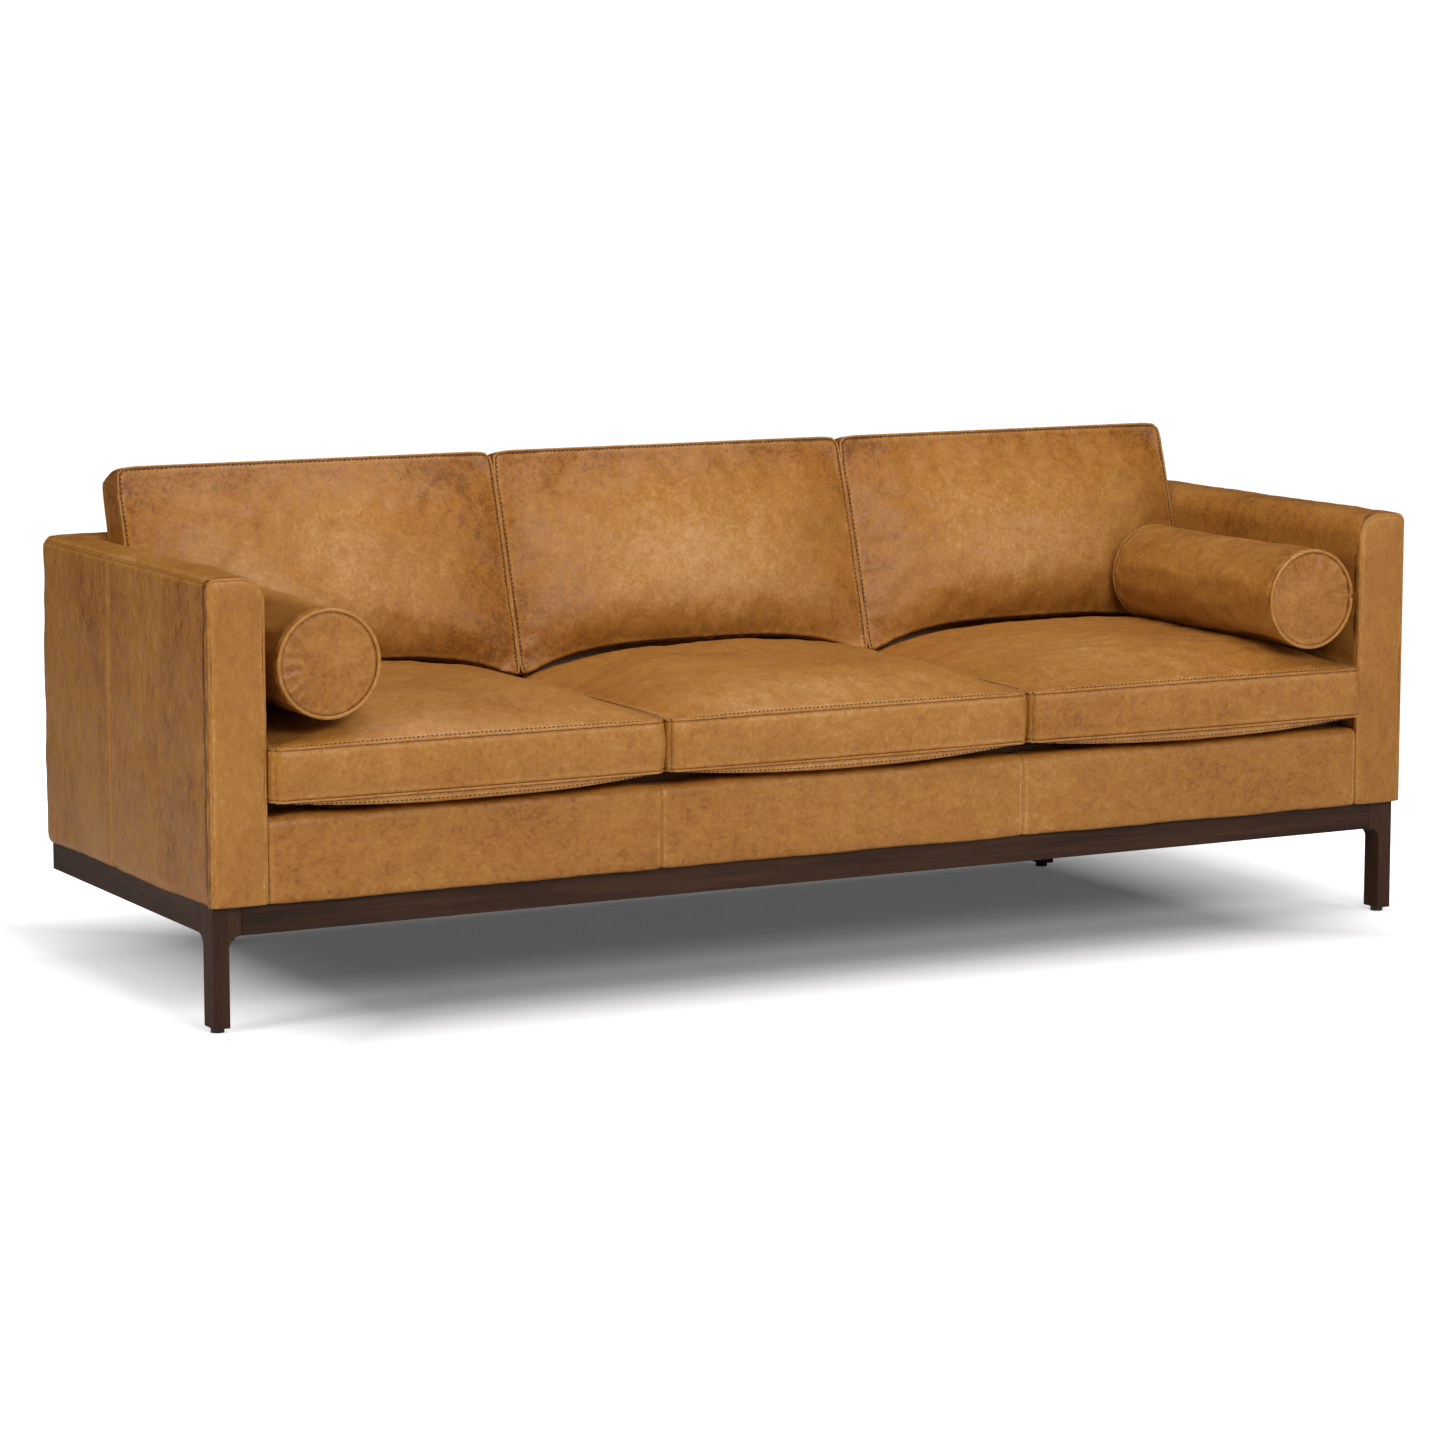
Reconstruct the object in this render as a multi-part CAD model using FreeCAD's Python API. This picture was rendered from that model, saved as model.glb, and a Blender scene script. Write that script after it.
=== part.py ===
"""Three-seat leather sofa on a wooden plinth frame with four legs.

Millimetres.  +X is to the right of someone facing the sofa, the sofa faces -Y, +Z is up.
The origin is on the floor, under the middle of the overall width and depth.
"""
import FreeCAD, Part
import math
import os

V = FreeCAD.Vector

# ---- driving dimensions -------------------------------------------------------------------
WIDTH = 2290.0              # over the leather of the two arms
DEPTH = 800.0               # front of the seat cushions to the back leather
BODY_FRONT = -377.0         # leather front of arms and seat border
BODY_REAR = DEPTH / 2
BODY_BOTTOM = 205.0         # upholstered body stands on the wooden base
BODY_TOP = 723.0            # arms and back have the same height
ARM_THICKNESS = 95.0
CORNER_RADIUS = 50.0        # rear vertical corners
OUTER_TOP_RADIUS = 14.0
INNER_TOP_RADIUS = 40.0
BACK_SLOPE = math.radians(17.0)     # lean of the inside back
BACK_REF_Y = 305.0          # the inside back's leather passes this point
BACK_REF_Z = 700.0
DECK_TOP = 346.5            # cloth that carries the seat cushions

LEATHER = 2.0
PAD = 10.0                  # wadding and foam between leather and timber
FRAME_INSET = LEATHER + PAD
WEB_THICKNESS = 1.5

# wooden base
BASE_HALF_WIDTH = 1140.0
BASE_FRONT = -365.0
BASE_REAR = 360.0
BASE_BOTTOM = 155.0
BASE_RAIL_THICKNESS = 25.0
ARRIS = 1.5                 # radius on the edges of the finished wood
LEG_WIDTH = 28.0            # along X
LEG_DEPTH = 42.0            # along Y
LEG_BLOCK_WIDTH = 50.0
LEG_BLOCK_DEPTH = 65.0
LEG_FLARE_RADIUS = 20.0
REAR_LEG_X = 840.0
GLIDE_HEIGHT = 8.0
GLIDE_RADIUS = 11.0
STRETCHER_X = 420.0
STRETCHER_WIDTH = 40.0
STRETCHER_HEIGHT = 35.0
STRETCHER_DROP = 7.0        # below the top of the base rails
BOLT_RADIUS = 4.0
BOLT_HEAD_RADIUS = 6.5
BOLT_HEAD_HEIGHT = 5.0
BOLT_LENGTH = 35.0          # into the timber of the body
SIDE_BOLT_X = 1124.0
REAR_BOLT_Y = 352.0

# timber of the upholstered body
TIMBER = 28.0
SEAT_RAIL_TOP = 325.0
ARM_RAIL_TOP = 275.0
TOP_RAIL_HEIGHT = 55.0
ARM_POST = 60.0
BACK_POST_WIDTH = 45.0
BACK_POST_X = 349.0
SPRING_RAIL_REAR = 233.0
BRACE_HEIGHT = 50.0
INNER_CUT_TOP = 332.0       # inside covers end here, just above the spring clips
CORNER_BLOCK = 60.0

# suspension
SPRINGS_PER_SEAT = 4
SPRING_WIRE_RADIUS = 1.9
SPRING_PITCH = 32.0
SPRING_WIDTH = 50.0
CLIP_WIDTH = 20.0
CLIP_DEPTH = 16.0
CLIP_SHEET = 1.5
WEB_WIDTH = 60.0
WEBS_PER_SEAT = 3

# front border and seams
BORDER_TOP = 340.0
BORDER_DEPTH = 52.0
BORDER_RADIUS = 14.0
SIDE_SEAM_Y = 55.0          # vertical seam on each outer side
REAR_SEAM_X = 1000.0        # vertical seams on the outside back

# loose cushions
SEATS = {"left": -1, "center": 0, "right": 1}
SEAT_PITCH = 699.0
CUSHION_WIDTH = 697.0
CUSHION_GAP = 1.5           # kept between cushions and what is beside them
CORE_GAP = 0.3              # kept between a cushion's cover and its core
SEAT_SEAM_LOW = 367.0
SEAT_SEAM_HIGH = 453.0
SEAT_BELLY = 18.5           # sag of the underside below its seam
SEAT_CROWN = 50.0
SEAT_CROWN_RUN = 190.0      # distance behind the front seam where the crown is full
CROWN_POWER = 3.5
BACK_BOXING = 74.0
BACK_CROWN = 42.0
BACK_TOP_Z = 845.0          # front seam at the top
BACK_BOTTOM_Z = 440.0       # before the seat crown is cut out of it
BOLSTER_RADIUS = 88.0
BOLSTER_X = 943.0
BOLSTER_Z = 580.5
BOLSTER_FRONT = -388.0
BOLSTER_REAR = 128.0
BOLSTER_EDGE = 8.0

TAN_SLOPE = math.tan(BACK_SLOPE)
COS_SLOPE = math.cos(BACK_SLOPE)
ARM_INNER = WIDTH / 2 - ARM_THICKNESS
SIDES = {"left": -1, "right": 1}


# ---- small helpers ------------------------------------------------------------------------
def box(x0, x1, y0, y1, z0, z1):
    low = V(min(x0, x1), min(y0, y1), min(z0, z1))
    return Part.makeBox(abs(x1 - x0), abs(y1 - y0), abs(z1 - z0), low)


def group(solids):
    return Part.Compound(solids)


def mirrored(shape):
    return shape.mirror(V(0, 0, 0), V(1, 0, 0))


def sided(shape, side):
    """A shape made for the left is mirrored for the right."""
    return shape if side < 0 else mirrored(shape)


def joined(shapes):
    result = shapes[0]
    for other in shapes[1:]:
        result = result.fuse(other)
    return result.removeSplitter()


def eased(shape, keep=lambda edge: True):
    """Break a wooden piece's arrises with a small radius."""
    return shape.makeFillet(ARRIS, [e for e in shape.Edges if keep(e)])


def prism_x(points, x0, x1):
    """Extrude a closed YZ outline along X."""
    outline = [V(x0, y, z) for y, z in points]
    face = Part.Face(Part.makePolygon(outline + outline[:1]))
    return face.extrude(V(x1 - x0, 0, 0))


def rod(x, y, z, radius, height):
    return Part.makeCylinder(radius, height, V(x, y, z), V(0, 0, 1))


def export(name, shape):
    shape.exportStep(os.path.join("parts", name + ".step"))


def back_y(z, inset=0.0):
    """Y of the inside back at height z, taken inset millimetres into the back."""
    return BACK_REF_Y - (BACK_REF_Z - z) * TAN_SLOPE + inset / COS_SLOPE


# ---- the upholstered body as nested solids ------------------------------------------------
def outer_envelope(inset):
    """Convex outside of arms and back, with rounded rear corners and top edge."""
    half = WIDTH / 2 - inset
    front = BODY_FRONT + inset
    rear = BODY_REAR - inset
    top = BODY_TOP - inset
    block = box(-half, half, front, rear, BODY_BOTTOM, top)
    corners = [e for e in block.Edges
               if abs(e.CenterOfMass.y - rear) < 0.1 and abs(abs(e.CenterOfMass.x) - half) < 0.1]
    block = block.makeFillet(CORNER_RADIUS - inset, corners)
    rim = [e for e in block.Edges
           if e.BoundBox.ZMin > top - 0.1 and e.CenterOfMass.y > front + 0.1]
    return block.makeFillet(max(OUTER_TOP_RADIUS - inset, 2.0), rim)


def arm_block(inset):
    """Left arm with its rounded inner top edge, over the whole depth."""
    inner = -ARM_INNER - inset
    block = box(-WIDTH / 2, inner, BODY_FRONT, BODY_REAR, BODY_BOTTOM, BODY_TOP - inset)
    edge = [e for e in block.Edges
            if e.BoundBox.ZMin > BODY_TOP - inset - 0.1 and e.BoundBox.XMin > inner - 0.1]
    return block.makeFillet(INNER_TOP_RADIUS - inset, edge)


def back_block(inset, slope_inset):
    """Back with its sloping inside and rounded top edge, over the whole width."""
    top = BODY_TOP - inset
    outline = [(back_y(BODY_BOTTOM, slope_inset), BODY_BOTTOM), (back_y(top, slope_inset), top),
               (BODY_REAR, top), (BODY_REAR, BODY_BOTTOM)]
    block = prism_x(outline, -WIDTH / 2, WIDTH / 2)
    edge = [e for e in block.Edges
            if e.BoundBox.ZMin > top - 0.1 and e.BoundBox.YMax < back_y(top, slope_inset) + 0.1]
    return block.makeFillet(INNER_TOP_RADIUS - 12.0 - inset, edge)


def body_solid(inset, slope_inset=None):
    if slope_inset is None:
        slope_inset = inset
    left = arm_block(inset)
    mass = joined([left, mirrored(left), back_block(inset, slope_inset)])
    return mass.common(outer_envelope(inset))


BODY_SKIN = body_solid(0.0)
BODY_PAD = body_solid(LEATHER)
BODY_CORE = body_solid(FRAME_INSET)
TIMBER_CORE = body_solid(FRAME_INSET, FRAME_INSET + WEB_THICKNESS)

CORE_HALF = WIDTH / 2 - FRAME_INSET         # outer face of the arm timber
CORE_INNER = ARM_INNER + FRAME_INSET        # inner face of the arm timber
CORE_FRONT = BODY_FRONT + FRAME_INSET
CORE_REAR = BODY_REAR - FRAME_INSET
TOP_RAIL_BOTTOM = BODY_TOP - FRAME_INSET - TOP_RAIL_HEIGHT

# the seat box is kept clear of the inside covers
SEAT_BOX = box(-CORE_INNER, CORE_INNER, CORE_FRONT, CORE_REAR, BODY_BOTTOM, INNER_CUT_TOP)
LEATHER_SHELL = BODY_SKIN.cut(BODY_PAD).cut(SEAT_BOX)
PAD_SHELL = BODY_PAD.cut(BODY_CORE).cut(SEAT_BOX)


# ---- wooden base --------------------------------------------------------------------------
def flare_profile(depth_low, depth_high, start, to_point):
    """Leg outline: straight foot, quarter-round flare, then the block above the rail line."""
    flare_end = depth_low + LEG_FLARE_RADIUS
    flare_z = BASE_BOTTOM - LEG_FLARE_RADIUS
    middle = math.sqrt(0.5) * LEG_FLARE_RADIUS
    corner = [(0, GLIDE_HEIGHT), (depth_low, GLIDE_HEIGHT), (depth_low, flare_z)]
    after = [(flare_end, BASE_BOTTOM), (depth_high, BASE_BOTTOM), (depth_high, BODY_BOTTOM),
             (0, BODY_BOTTOM)]
    mid = (flare_end - middle, flare_z + middle)
    edges = [Part.LineSegment(to_point(*a), to_point(*b)).toShape()
             for a, b in zip(corner, corner[1:])]
    edges.append(Part.Arc(to_point(*corner[-1]), to_point(*mid), to_point(*after[0])).toShape())
    edges += [Part.LineSegment(to_point(*a), to_point(*b)).toShape()
              for a, b in zip(after, after[1:] + corner[:1])]
    return Part.Face(Part.Wire(edges)).translated(start)


def front_leg():
    """Left front leg: a post and a corner block in one piece, flared both ways."""
    across = flare_profile(LEG_WIDTH, LEG_BLOCK_WIDTH, V(-BASE_HALF_WIDTH, BASE_FRONT, 0),
                           lambda a, z: V(a, 0, z))
    along = flare_profile(LEG_DEPTH, LEG_BLOCK_DEPTH, V(-BASE_HALF_WIDTH, BASE_FRONT, 0),
                          lambda a, z: V(0, a, z))
    leg = across.extrude(V(0, LEG_BLOCK_DEPTH, 0)).common(along.extrude(V(LEG_BLOCK_WIDTH, 0, 0)))
    return eased(leg, lambda e: e.BoundBox.ZMax < BODY_BOTTOM - 0.1 or e.BoundBox.ZLength > 1)


def rear_leg():
    """Left rear leg: the post stands under the rear rail, its tongue is screwed behind it."""
    x0 = -REAR_LEG_X - LEG_WIDTH / 2
    rail_inner = BASE_REAR - BASE_RAIL_THICKNESS
    post = box(x0, x0 + LEG_WIDTH, BASE_REAR - LEG_DEPTH, BASE_REAR, GLIDE_HEIGHT, BASE_BOTTOM)
    tongue = box(x0, x0 + LEG_WIDTH, BASE_REAR - LEG_BLOCK_DEPTH, rail_inner,
                 BASE_BOTTOM - LEG_FLARE_RADIUS, BODY_BOTTOM - 5)
    return eased(joined([post, tongue]))


def leg_centres():
    """Centres of the four feet."""
    front_x = BASE_HALF_WIDTH - LEG_WIDTH / 2
    front_y = BASE_FRONT + LEG_DEPTH / 2
    rear_y = BASE_REAR - LEG_DEPTH / 2
    return [(-front_x, front_y), (front_x, front_y), (-REAR_LEG_X, rear_y), (REAR_LEG_X, rear_y)]


def bolt_places():
    """Where the base is bolted up into the body: (x, y) of each bolt."""
    front_y = BASE_FRONT + BASE_RAIL_THICKNESS / 2
    places = [(x, front_y) for x in (-700.0, 0.0, 700.0)]
    places += [(x, REAR_BOLT_Y) for x in (-700.0, 0.0, 700.0)]
    places += [(side * SIDE_BOLT_X, y) for side in (-1, 1) for y in (-120.0, 160.0)]
    return places


def bolt_holes(depth):
    return group([rod(x, y, BASE_BOTTOM - 1, BOLT_RADIUS, BODY_BOTTOM - BASE_BOTTOM + 1 + depth)
                  for x, y in bolt_places()])


def bolt_recesses():
    return group([rod(x, y, BASE_BOTTOM - 1, BOLT_HEAD_RADIUS, BOLT_HEAD_HEIGHT + 1)
                  for x, y in bolt_places()])


def base_bolts():
    bolts = []
    for x, y in bolt_places():
        head = rod(x, y, BASE_BOTTOM, BOLT_HEAD_RADIUS, BOLT_HEAD_HEIGHT)
        shank = rod(x, y, BASE_BOTTOM, BOLT_RADIUS, BODY_BOTTOM - BASE_BOTTOM + BOLT_LENGTH)
        bolts.append(joined([head, shank]))
    return group(bolts)


def make_base():
    drilled = group([bolt_holes(BOLT_LENGTH), bolt_recesses()])
    half = BASE_HALF_WIDTH
    thick = BASE_RAIL_THICKNESS
    front = box(-half + LEG_BLOCK_WIDTH, half - LEG_BLOCK_WIDTH, BASE_FRONT, BASE_FRONT + thick,
                BASE_BOTTOM, BODY_BOTTOM)
    rear = box(-half + thick, half - thick, BASE_REAR - thick, BASE_REAR, BASE_BOTTOM, BODY_BOTTOM)
    side = box(-half, -half + thick, BASE_FRONT + LEG_BLOCK_DEPTH, BASE_REAR,
               BASE_BOTTOM, BODY_BOTTOM)
    nodes = {"base_front_rail": eased(front).cut(drilled),
             "base_rear_rail": eased(rear).cut(drilled),
             "base_bolts": base_bolts()}
    feet = [rod(x, y, 0, GLIDE_RADIUS, GLIDE_HEIGHT) for x, y in leg_centres()]
    nodes["leg_glides"] = group(feet)
    stretcher_low = BODY_BOTTOM - STRETCHER_DROP - STRETCHER_HEIGHT
    nodes["base_stretchers"] = group([
        box(side * STRETCHER_X - STRETCHER_WIDTH / 2, side * STRETCHER_X + STRETCHER_WIDTH / 2,
            BASE_FRONT + thick, BASE_REAR - thick, stretcher_low, stretcher_low + STRETCHER_HEIGHT)
        for side in (-1, 1)])
    for name, sign in SIDES.items():
        nodes["base_%s_rail" % name] = sided(eased(side), sign).cut(drilled)
        nodes["front_%s_leg" % name] = sided(front_leg(), sign)
        nodes["rear_%s_leg" % name] = sided(rear_leg(), sign)
    return nodes


# ---- timber of the body -------------------------------------------------------------------
def arm_posts():
    """Left arm: front, middle and rear posts."""
    spans = [(CORE_FRONT, CORE_FRONT + ARM_POST, BODY_BOTTOM),
             (-TIMBER / 2, TIMBER / 2, ARM_RAIL_TOP),
             (CORE_REAR - ARM_POST, CORE_REAR, BODY_BOTTOM)]
    return group([TIMBER_CORE.common(box(-CORE_HALF, -CORE_INNER, y0, y1, low, TOP_RAIL_BOTTOM))
                  for y0, y1, low in spans])


def corner_block(side, y, toward):
    """Triangular glue block in a corner of the seat box."""
    x = side * CORE_INNER
    outline = [V(x, y, 0), V(x - side * CORNER_BLOCK, y, 0), V(x, y + toward * CORNER_BLOCK, 0)]
    face = Part.Face(Part.makePolygon(outline + outline[:1]))
    height = SEAT_RAIL_TOP - BODY_BOTTOM - BRACE_HEIGHT
    return face.translated(V(0, 0, BODY_BOTTOM + BRACE_HEIGHT)).extrude(V(0, 0, height))


def make_timber():
    drilled = bolt_holes(BOLT_LENGTH)
    front_inner = CORE_FRONT + TIMBER
    spring_rail_front = SPRING_RAIL_REAR - TIMBER
    rear_rail_front = CORE_REAR - BACK_POST_WIDTH
    seat_front = box(-CORE_INNER, CORE_INNER, CORE_FRONT, front_inner, BODY_BOTTOM, SEAT_RAIL_TOP)
    seat_spring = box(-CORE_INNER, CORE_INNER, spring_rail_front, SPRING_RAIL_REAR,
                      BODY_BOTTOM + BRACE_HEIGHT, SEAT_RAIL_TOP)
    back_low = box(-CORE_INNER, CORE_INNER, rear_rail_front, CORE_REAR,
                   BODY_BOTTOM, SEAT_RAIL_TOP)
    nodes = {"seat_front_rail": seat_front.cut(drilled), "seat_spring_rail": seat_spring,
             "back_bottom_rail": back_low.cut(drilled)}
    nodes["back_top_rail"] = TIMBER_CORE.common(
        box(-CORE_INNER, CORE_INNER, 0, CORE_REAR, TOP_RAIL_BOTTOM, BODY_TOP))
    post_centres = [side * x for side in (-1, 1)
                    for x in (BACK_POST_X, CORE_INNER - BACK_POST_WIDTH / 2)]
    nodes["back_posts"] = group([TIMBER_CORE.common(
        box(x - BACK_POST_WIDTH / 2, x + BACK_POST_WIDTH / 2, 0, CORE_REAR,
            SEAT_RAIL_TOP, TOP_RAIL_BOTTOM)) for x in post_centres])
    nodes["seat_braces"] = group([
        box(side * BACK_POST_X - TIMBER / 2, side * BACK_POST_X + TIMBER / 2,
            front_inner, rear_rail_front, BODY_BOTTOM, BODY_BOTTOM + BRACE_HEIGHT)
        for side in (-1, 1)])
    nodes["corner_blocks"] = group([corner_block(side, y, toward) for side in (-1, 1)
                                    for y, toward in ((front_inner, 1), (spring_rail_front, -1))])
    rail = box(-CORE_HALF, -CORE_INNER, CORE_FRONT + ARM_POST, CORE_REAR - ARM_POST,
               BODY_BOTTOM, ARM_RAIL_TOP)
    top = TIMBER_CORE.common(box(-CORE_HALF, -CORE_INNER, CORE_FRONT, CORE_REAR,
                                 TOP_RAIL_BOTTOM, BODY_TOP))
    nodes["arm_bottom_rails"] = group([sided(rail, sign).cut(drilled) for sign in (-1, 1)])
    for name, sign in SIDES.items():
        nodes["%s_arm_posts" % name] = sided(arm_posts(), sign)
        nodes["%s_arm_top_rail" % name] = sided(top, sign)
    return nodes


# ---- springs, webbing and cloths ----------------------------------------------------------
SPRING_Z = SEAT_RAIL_TOP + CLIP_SHEET + SPRING_WIRE_RADIUS
SPRING_FRONT_Y = CORE_FRONT + TIMBER / 2
SPRING_REAR_Y = SPRING_RAIL_REAR - TIMBER / 2 - 6


def spring_places():
    """X of every zigzag spring, evenly spread over each seat."""
    step = SEAT_PITCH / SPRINGS_PER_SEAT
    return [seat * SEAT_PITCH + (k - (SPRINGS_PER_SEAT - 1) / 2) * step
            for seat in SEATS.values() for k in range(SPRINGS_PER_SEAT)]


def zigzag_spring():
    """One flat spring about x = 0: straight runs across, joined by half circles."""
    bends = round((SPRING_REAR_Y - SPRING_FRONT_Y) / SPRING_PITCH)
    pitch = (SPRING_REAR_Y - SPRING_FRONT_Y) / bends
    reach = (SPRING_WIDTH - pitch) / 2
    pieces = []
    for k in range(bends + 1):
        y = SPRING_FRONT_Y + k * pitch
        side = 1 if k % 2 == 0 else -1
        pieces.append(Part.makeCylinder(SPRING_WIRE_RADIUS, 2 * reach, V(-reach, y, SPRING_Z),
                                        V(1, 0, 0)))
        if k < bends:
            turn = Part.makeTorus(pitch / 2, SPRING_WIRE_RADIUS, V(0, 0, 0), V(0, 0, 1),
                                  0, 360, 180)
            turn.rotate(V(0, 0, 0), V(0, 0, 1), -90 * side)
            turn.translate(V(side * reach, y + pitch / 2, SPRING_Z))
            pieces.append(turn)
    return joined(pieces)


def spring_clip(x, y):
    """Sheet clip around the end run of a spring, open towards the rail's edge."""
    height = 2 * (CLIP_SHEET + SPRING_WIRE_RADIUS)
    x0 = x - CLIP_WIDTH / 2
    low = box(x0, x0 + CLIP_WIDTH, y - CLIP_DEPTH / 2, y + CLIP_DEPTH / 2,
              SEAT_RAIL_TOP, SEAT_RAIL_TOP + height)
    room = box(x0 - 1, x0 + CLIP_WIDTH + 1, y - CLIP_DEPTH / 2 + CLIP_SHEET, y + CLIP_DEPTH,
               SEAT_RAIL_TOP + CLIP_SHEET, SEAT_RAIL_TOP + height - CLIP_SHEET)
    return low.cut(room)


def back_webs():
    """Straps down the sloping front of the back timber."""
    z0 = INNER_CUT_TOP
    z1 = BODY_TOP - FRAME_INSET - INNER_TOP_RADIUS
    outer = FRAME_INSET + WEB_THICKNESS
    outline = [(back_y(z0, FRAME_INSET), z0), (back_y(z1, FRAME_INSET), z1),
               (back_y(z1, outer), z1), (back_y(z0, outer), z0)]
    step = SEAT_PITCH / WEBS_PER_SEAT
    straps = []
    for seat in SEATS.values():
        for k in range(WEBS_PER_SEAT):
            x = seat * SEAT_PITCH + (k - (WEBS_PER_SEAT - 1) / 2) * step
            straps.append(prism_x(outline, x - WEB_WIDTH / 2, x + WEB_WIDTH / 2))
    return group(straps)


def make_suspension():
    one = zigzag_spring()
    springs = []
    clips = []
    for x in spring_places():
        springs.append(one.translated(V(x, 0, 0)))
        clips.append(spring_clip(x, SPRING_FRONT_Y))
        clips.append(spring_clip(x, SPRING_REAR_Y))
    pad_low = SPRING_Z + SPRING_WIRE_RADIUS + CLIP_SHEET
    pad_top = DECK_TOP - WEB_THICKNESS
    deck_front = BODY_FRONT + BORDER_DEPTH
    pad = box(-ARM_INNER, ARM_INNER, deck_front, back_y(pad_low), pad_low, pad_top)
    cloth = box(-ARM_INNER, ARM_INNER, deck_front, back_y(pad_top), pad_top, DECK_TOP)
    dust_half = BASE_HALF_WIDTH - LEG_BLOCK_WIDTH - 5
    dust = box(-dust_half, dust_half, BASE_FRONT + LEG_BLOCK_DEPTH + 5,
               BASE_REAR - LEG_BLOCK_DEPTH - 5, BODY_BOTTOM - 1, BODY_BOTTOM)
    return {"seat_springs": group(springs), "spring_clips": group(clips),
            "back_webbing": back_webs(), "seat_deck_pad": pad, "seat_deck_cloth": cloth,
            "dust_cover": dust}


# ---- padding and leather of the body ------------------------------------------------------
def border_solid(inset):
    """Padded border in front of the seat rail, rounded along its top front edge."""
    front = BODY_FRONT + inset
    top = BORDER_TOP - inset
    block = box(-ARM_INNER, ARM_INNER, front, BODY_FRONT + BORDER_DEPTH, BODY_BOTTOM, top)
    edge = [e for e in block.Edges
            if e.BoundBox.ZMin > top - 0.1 and e.BoundBox.YMax < front + 0.1]
    return block.makeFillet(BORDER_RADIUS - inset, edge)


def plan_core(margin):
    """Everything inside the body's outline in plan, margin millimetres from its edge."""
    half = WIDTH / 2 - margin
    rear = BODY_REAR - margin
    block = box(-half, half, BODY_FRONT - 1, rear, 0, 2 * BODY_TOP)
    corners = [e for e in block.Edges
               if abs(e.CenterOfMass.y - rear) < 0.1 and abs(abs(e.CenterOfMass.x) - half) < 0.1]
    return block.makeFillet(CORNER_RADIUS - margin, corners)


def make_covers():
    wide = WIDTH / 2 + 1
    rear = BODY_REAR + 1
    face = BODY_FRONT + LEATHER
    tall = (BODY_BOTTOM - 1, BODY_TOP + 1)
    inside = plan_core(OUTER_TOP_RADIUS)
    outer_band = LEATHER_SHELL.cut(inside)
    inner_skin = LEATHER_SHELL.common(inside)
    panels = {
        "arm_front_panel": LEATHER_SHELL.common(
            box(-wide, -ARM_INNER, BODY_FRONT - 1, face, *tall)),
        "arm_outside_cover": outer_band.common(box(-wide, 0, face, SIDE_SEAM_Y, *tall)),
        "arm_inside_cover": inner_skin.common(box(-wide, -ARM_INNER, face, rear, *tall)),
        "corner_cover": outer_band.common(box(-wide, -REAR_SEAM_X, SIDE_SEAM_Y, rear, *tall)),
        "arm_pad": PAD_SHELL.common(box(-wide, -ARM_INNER, BODY_FRONT, rear, *tall)),
    }
    nodes = {}
    for part, shape in panels.items():
        for name, sign in SIDES.items():
            nodes["%s_%s" % (name, part)] = sided(shape, sign)
    middle = box(-REAR_SEAM_X, REAR_SEAM_X, 0, rear, *tall)
    nodes["outside_back_cover"] = outer_band.common(middle)
    nodes["inside_back_cover"] = inner_skin.common(box(-ARM_INNER, ARM_INNER, 0, rear, *tall))
    nodes["back_pad"] = PAD_SHELL.common(box(-ARM_INNER, ARM_INNER, 0, rear, *tall))
    rail = box(-CORE_INNER, CORE_INNER, CORE_FRONT, 0, BODY_BOTTOM, INNER_CUT_TOP)
    nodes["front_border_cover"] = border_solid(0).cut(border_solid(LEATHER))
    nodes["front_border_pad"] = border_solid(LEATHER).cut(rail)
    return nodes


# ---- loose cushions -----------------------------------------------------------------------
def crown_height(u, height):
    """Height of a cushion's crown at u, from -1 at one side to 1 at the other."""
    return height * (1 - abs(u) ** CROWN_POWER)


def crown_curve(half, base, height, to_point):
    points = [to_point(half * k / 8.0, base + crown_height(k / 8.0, height)) for k in range(-8, 9)]
    curve = Part.BSplineCurve()
    curve.interpolate(points)
    return curve.toShape()


def loop_face(edges):
    return Part.Face(Part.Wire(Part.sortEdges(edges)[0]))


def chain(points):
    """Straight edges from each point to the next."""
    return [Part.LineSegment(a, b).toShape() for a, b in zip(points, points[1:])]


def seat_section(inset, gap=0.0):
    """Front view of a seat cushion, taken inset inside it, or raised by gap on top."""
    half = CUSHION_WIDTH / 2 - inset
    low = SEAT_SEAM_LOW + inset
    high = SEAT_SEAM_HIGH - inset + gap
    top = crown_curve(half, high, SEAT_CROWN, lambda a, z: V(a, 0, z))
    belly = Part.Arc(V(-half, 0, low), V(0, 0, low - SEAT_BELLY), V(half, 0, low)).toShape()
    sides = [Part.LineSegment(V(s * half, 0, low), V(s * half, 0, high)).toShape() for s in (-1, 1)]
    return loop_face([top, belly] + sides)


def seat_cushion(inset=0.0):
    """Boxed cushion about x = 0: crowned across, and falling to its front seam."""
    front = -DEPTH / 2 + inset
    rear = back_y(DECK_TOP) - CUSHION_GAP - inset
    across = seat_section(inset).translated(V(0, front, 0)).extrude(V(0, rear - front, 0))
    low = SEAT_SEAM_LOW - SEAT_BELLY - 1
    high = SEAT_SEAM_HIGH - inset
    nose = [V(0, front, high)]
    for k in range(1, 9):
        t = k / 8.0
        nose.append(V(0, front + SEAT_CROWN_RUN * t, high + SEAT_CROWN * (1 - (1 - t) ** 2.2)))
    curve = Part.BSplineCurve()
    curve.interpolate(nose)
    rest = [nose[-1], V(0, rear, nose[-1].z), V(0, rear, low), V(0, front, low), nose[0]]
    along = loop_face([curve.toShape()] + chain(rest))
    return across.common(along.translated(V(-WIDTH, 0, 0)).extrude(V(2 * WIDTH, 0, 0)))


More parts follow.
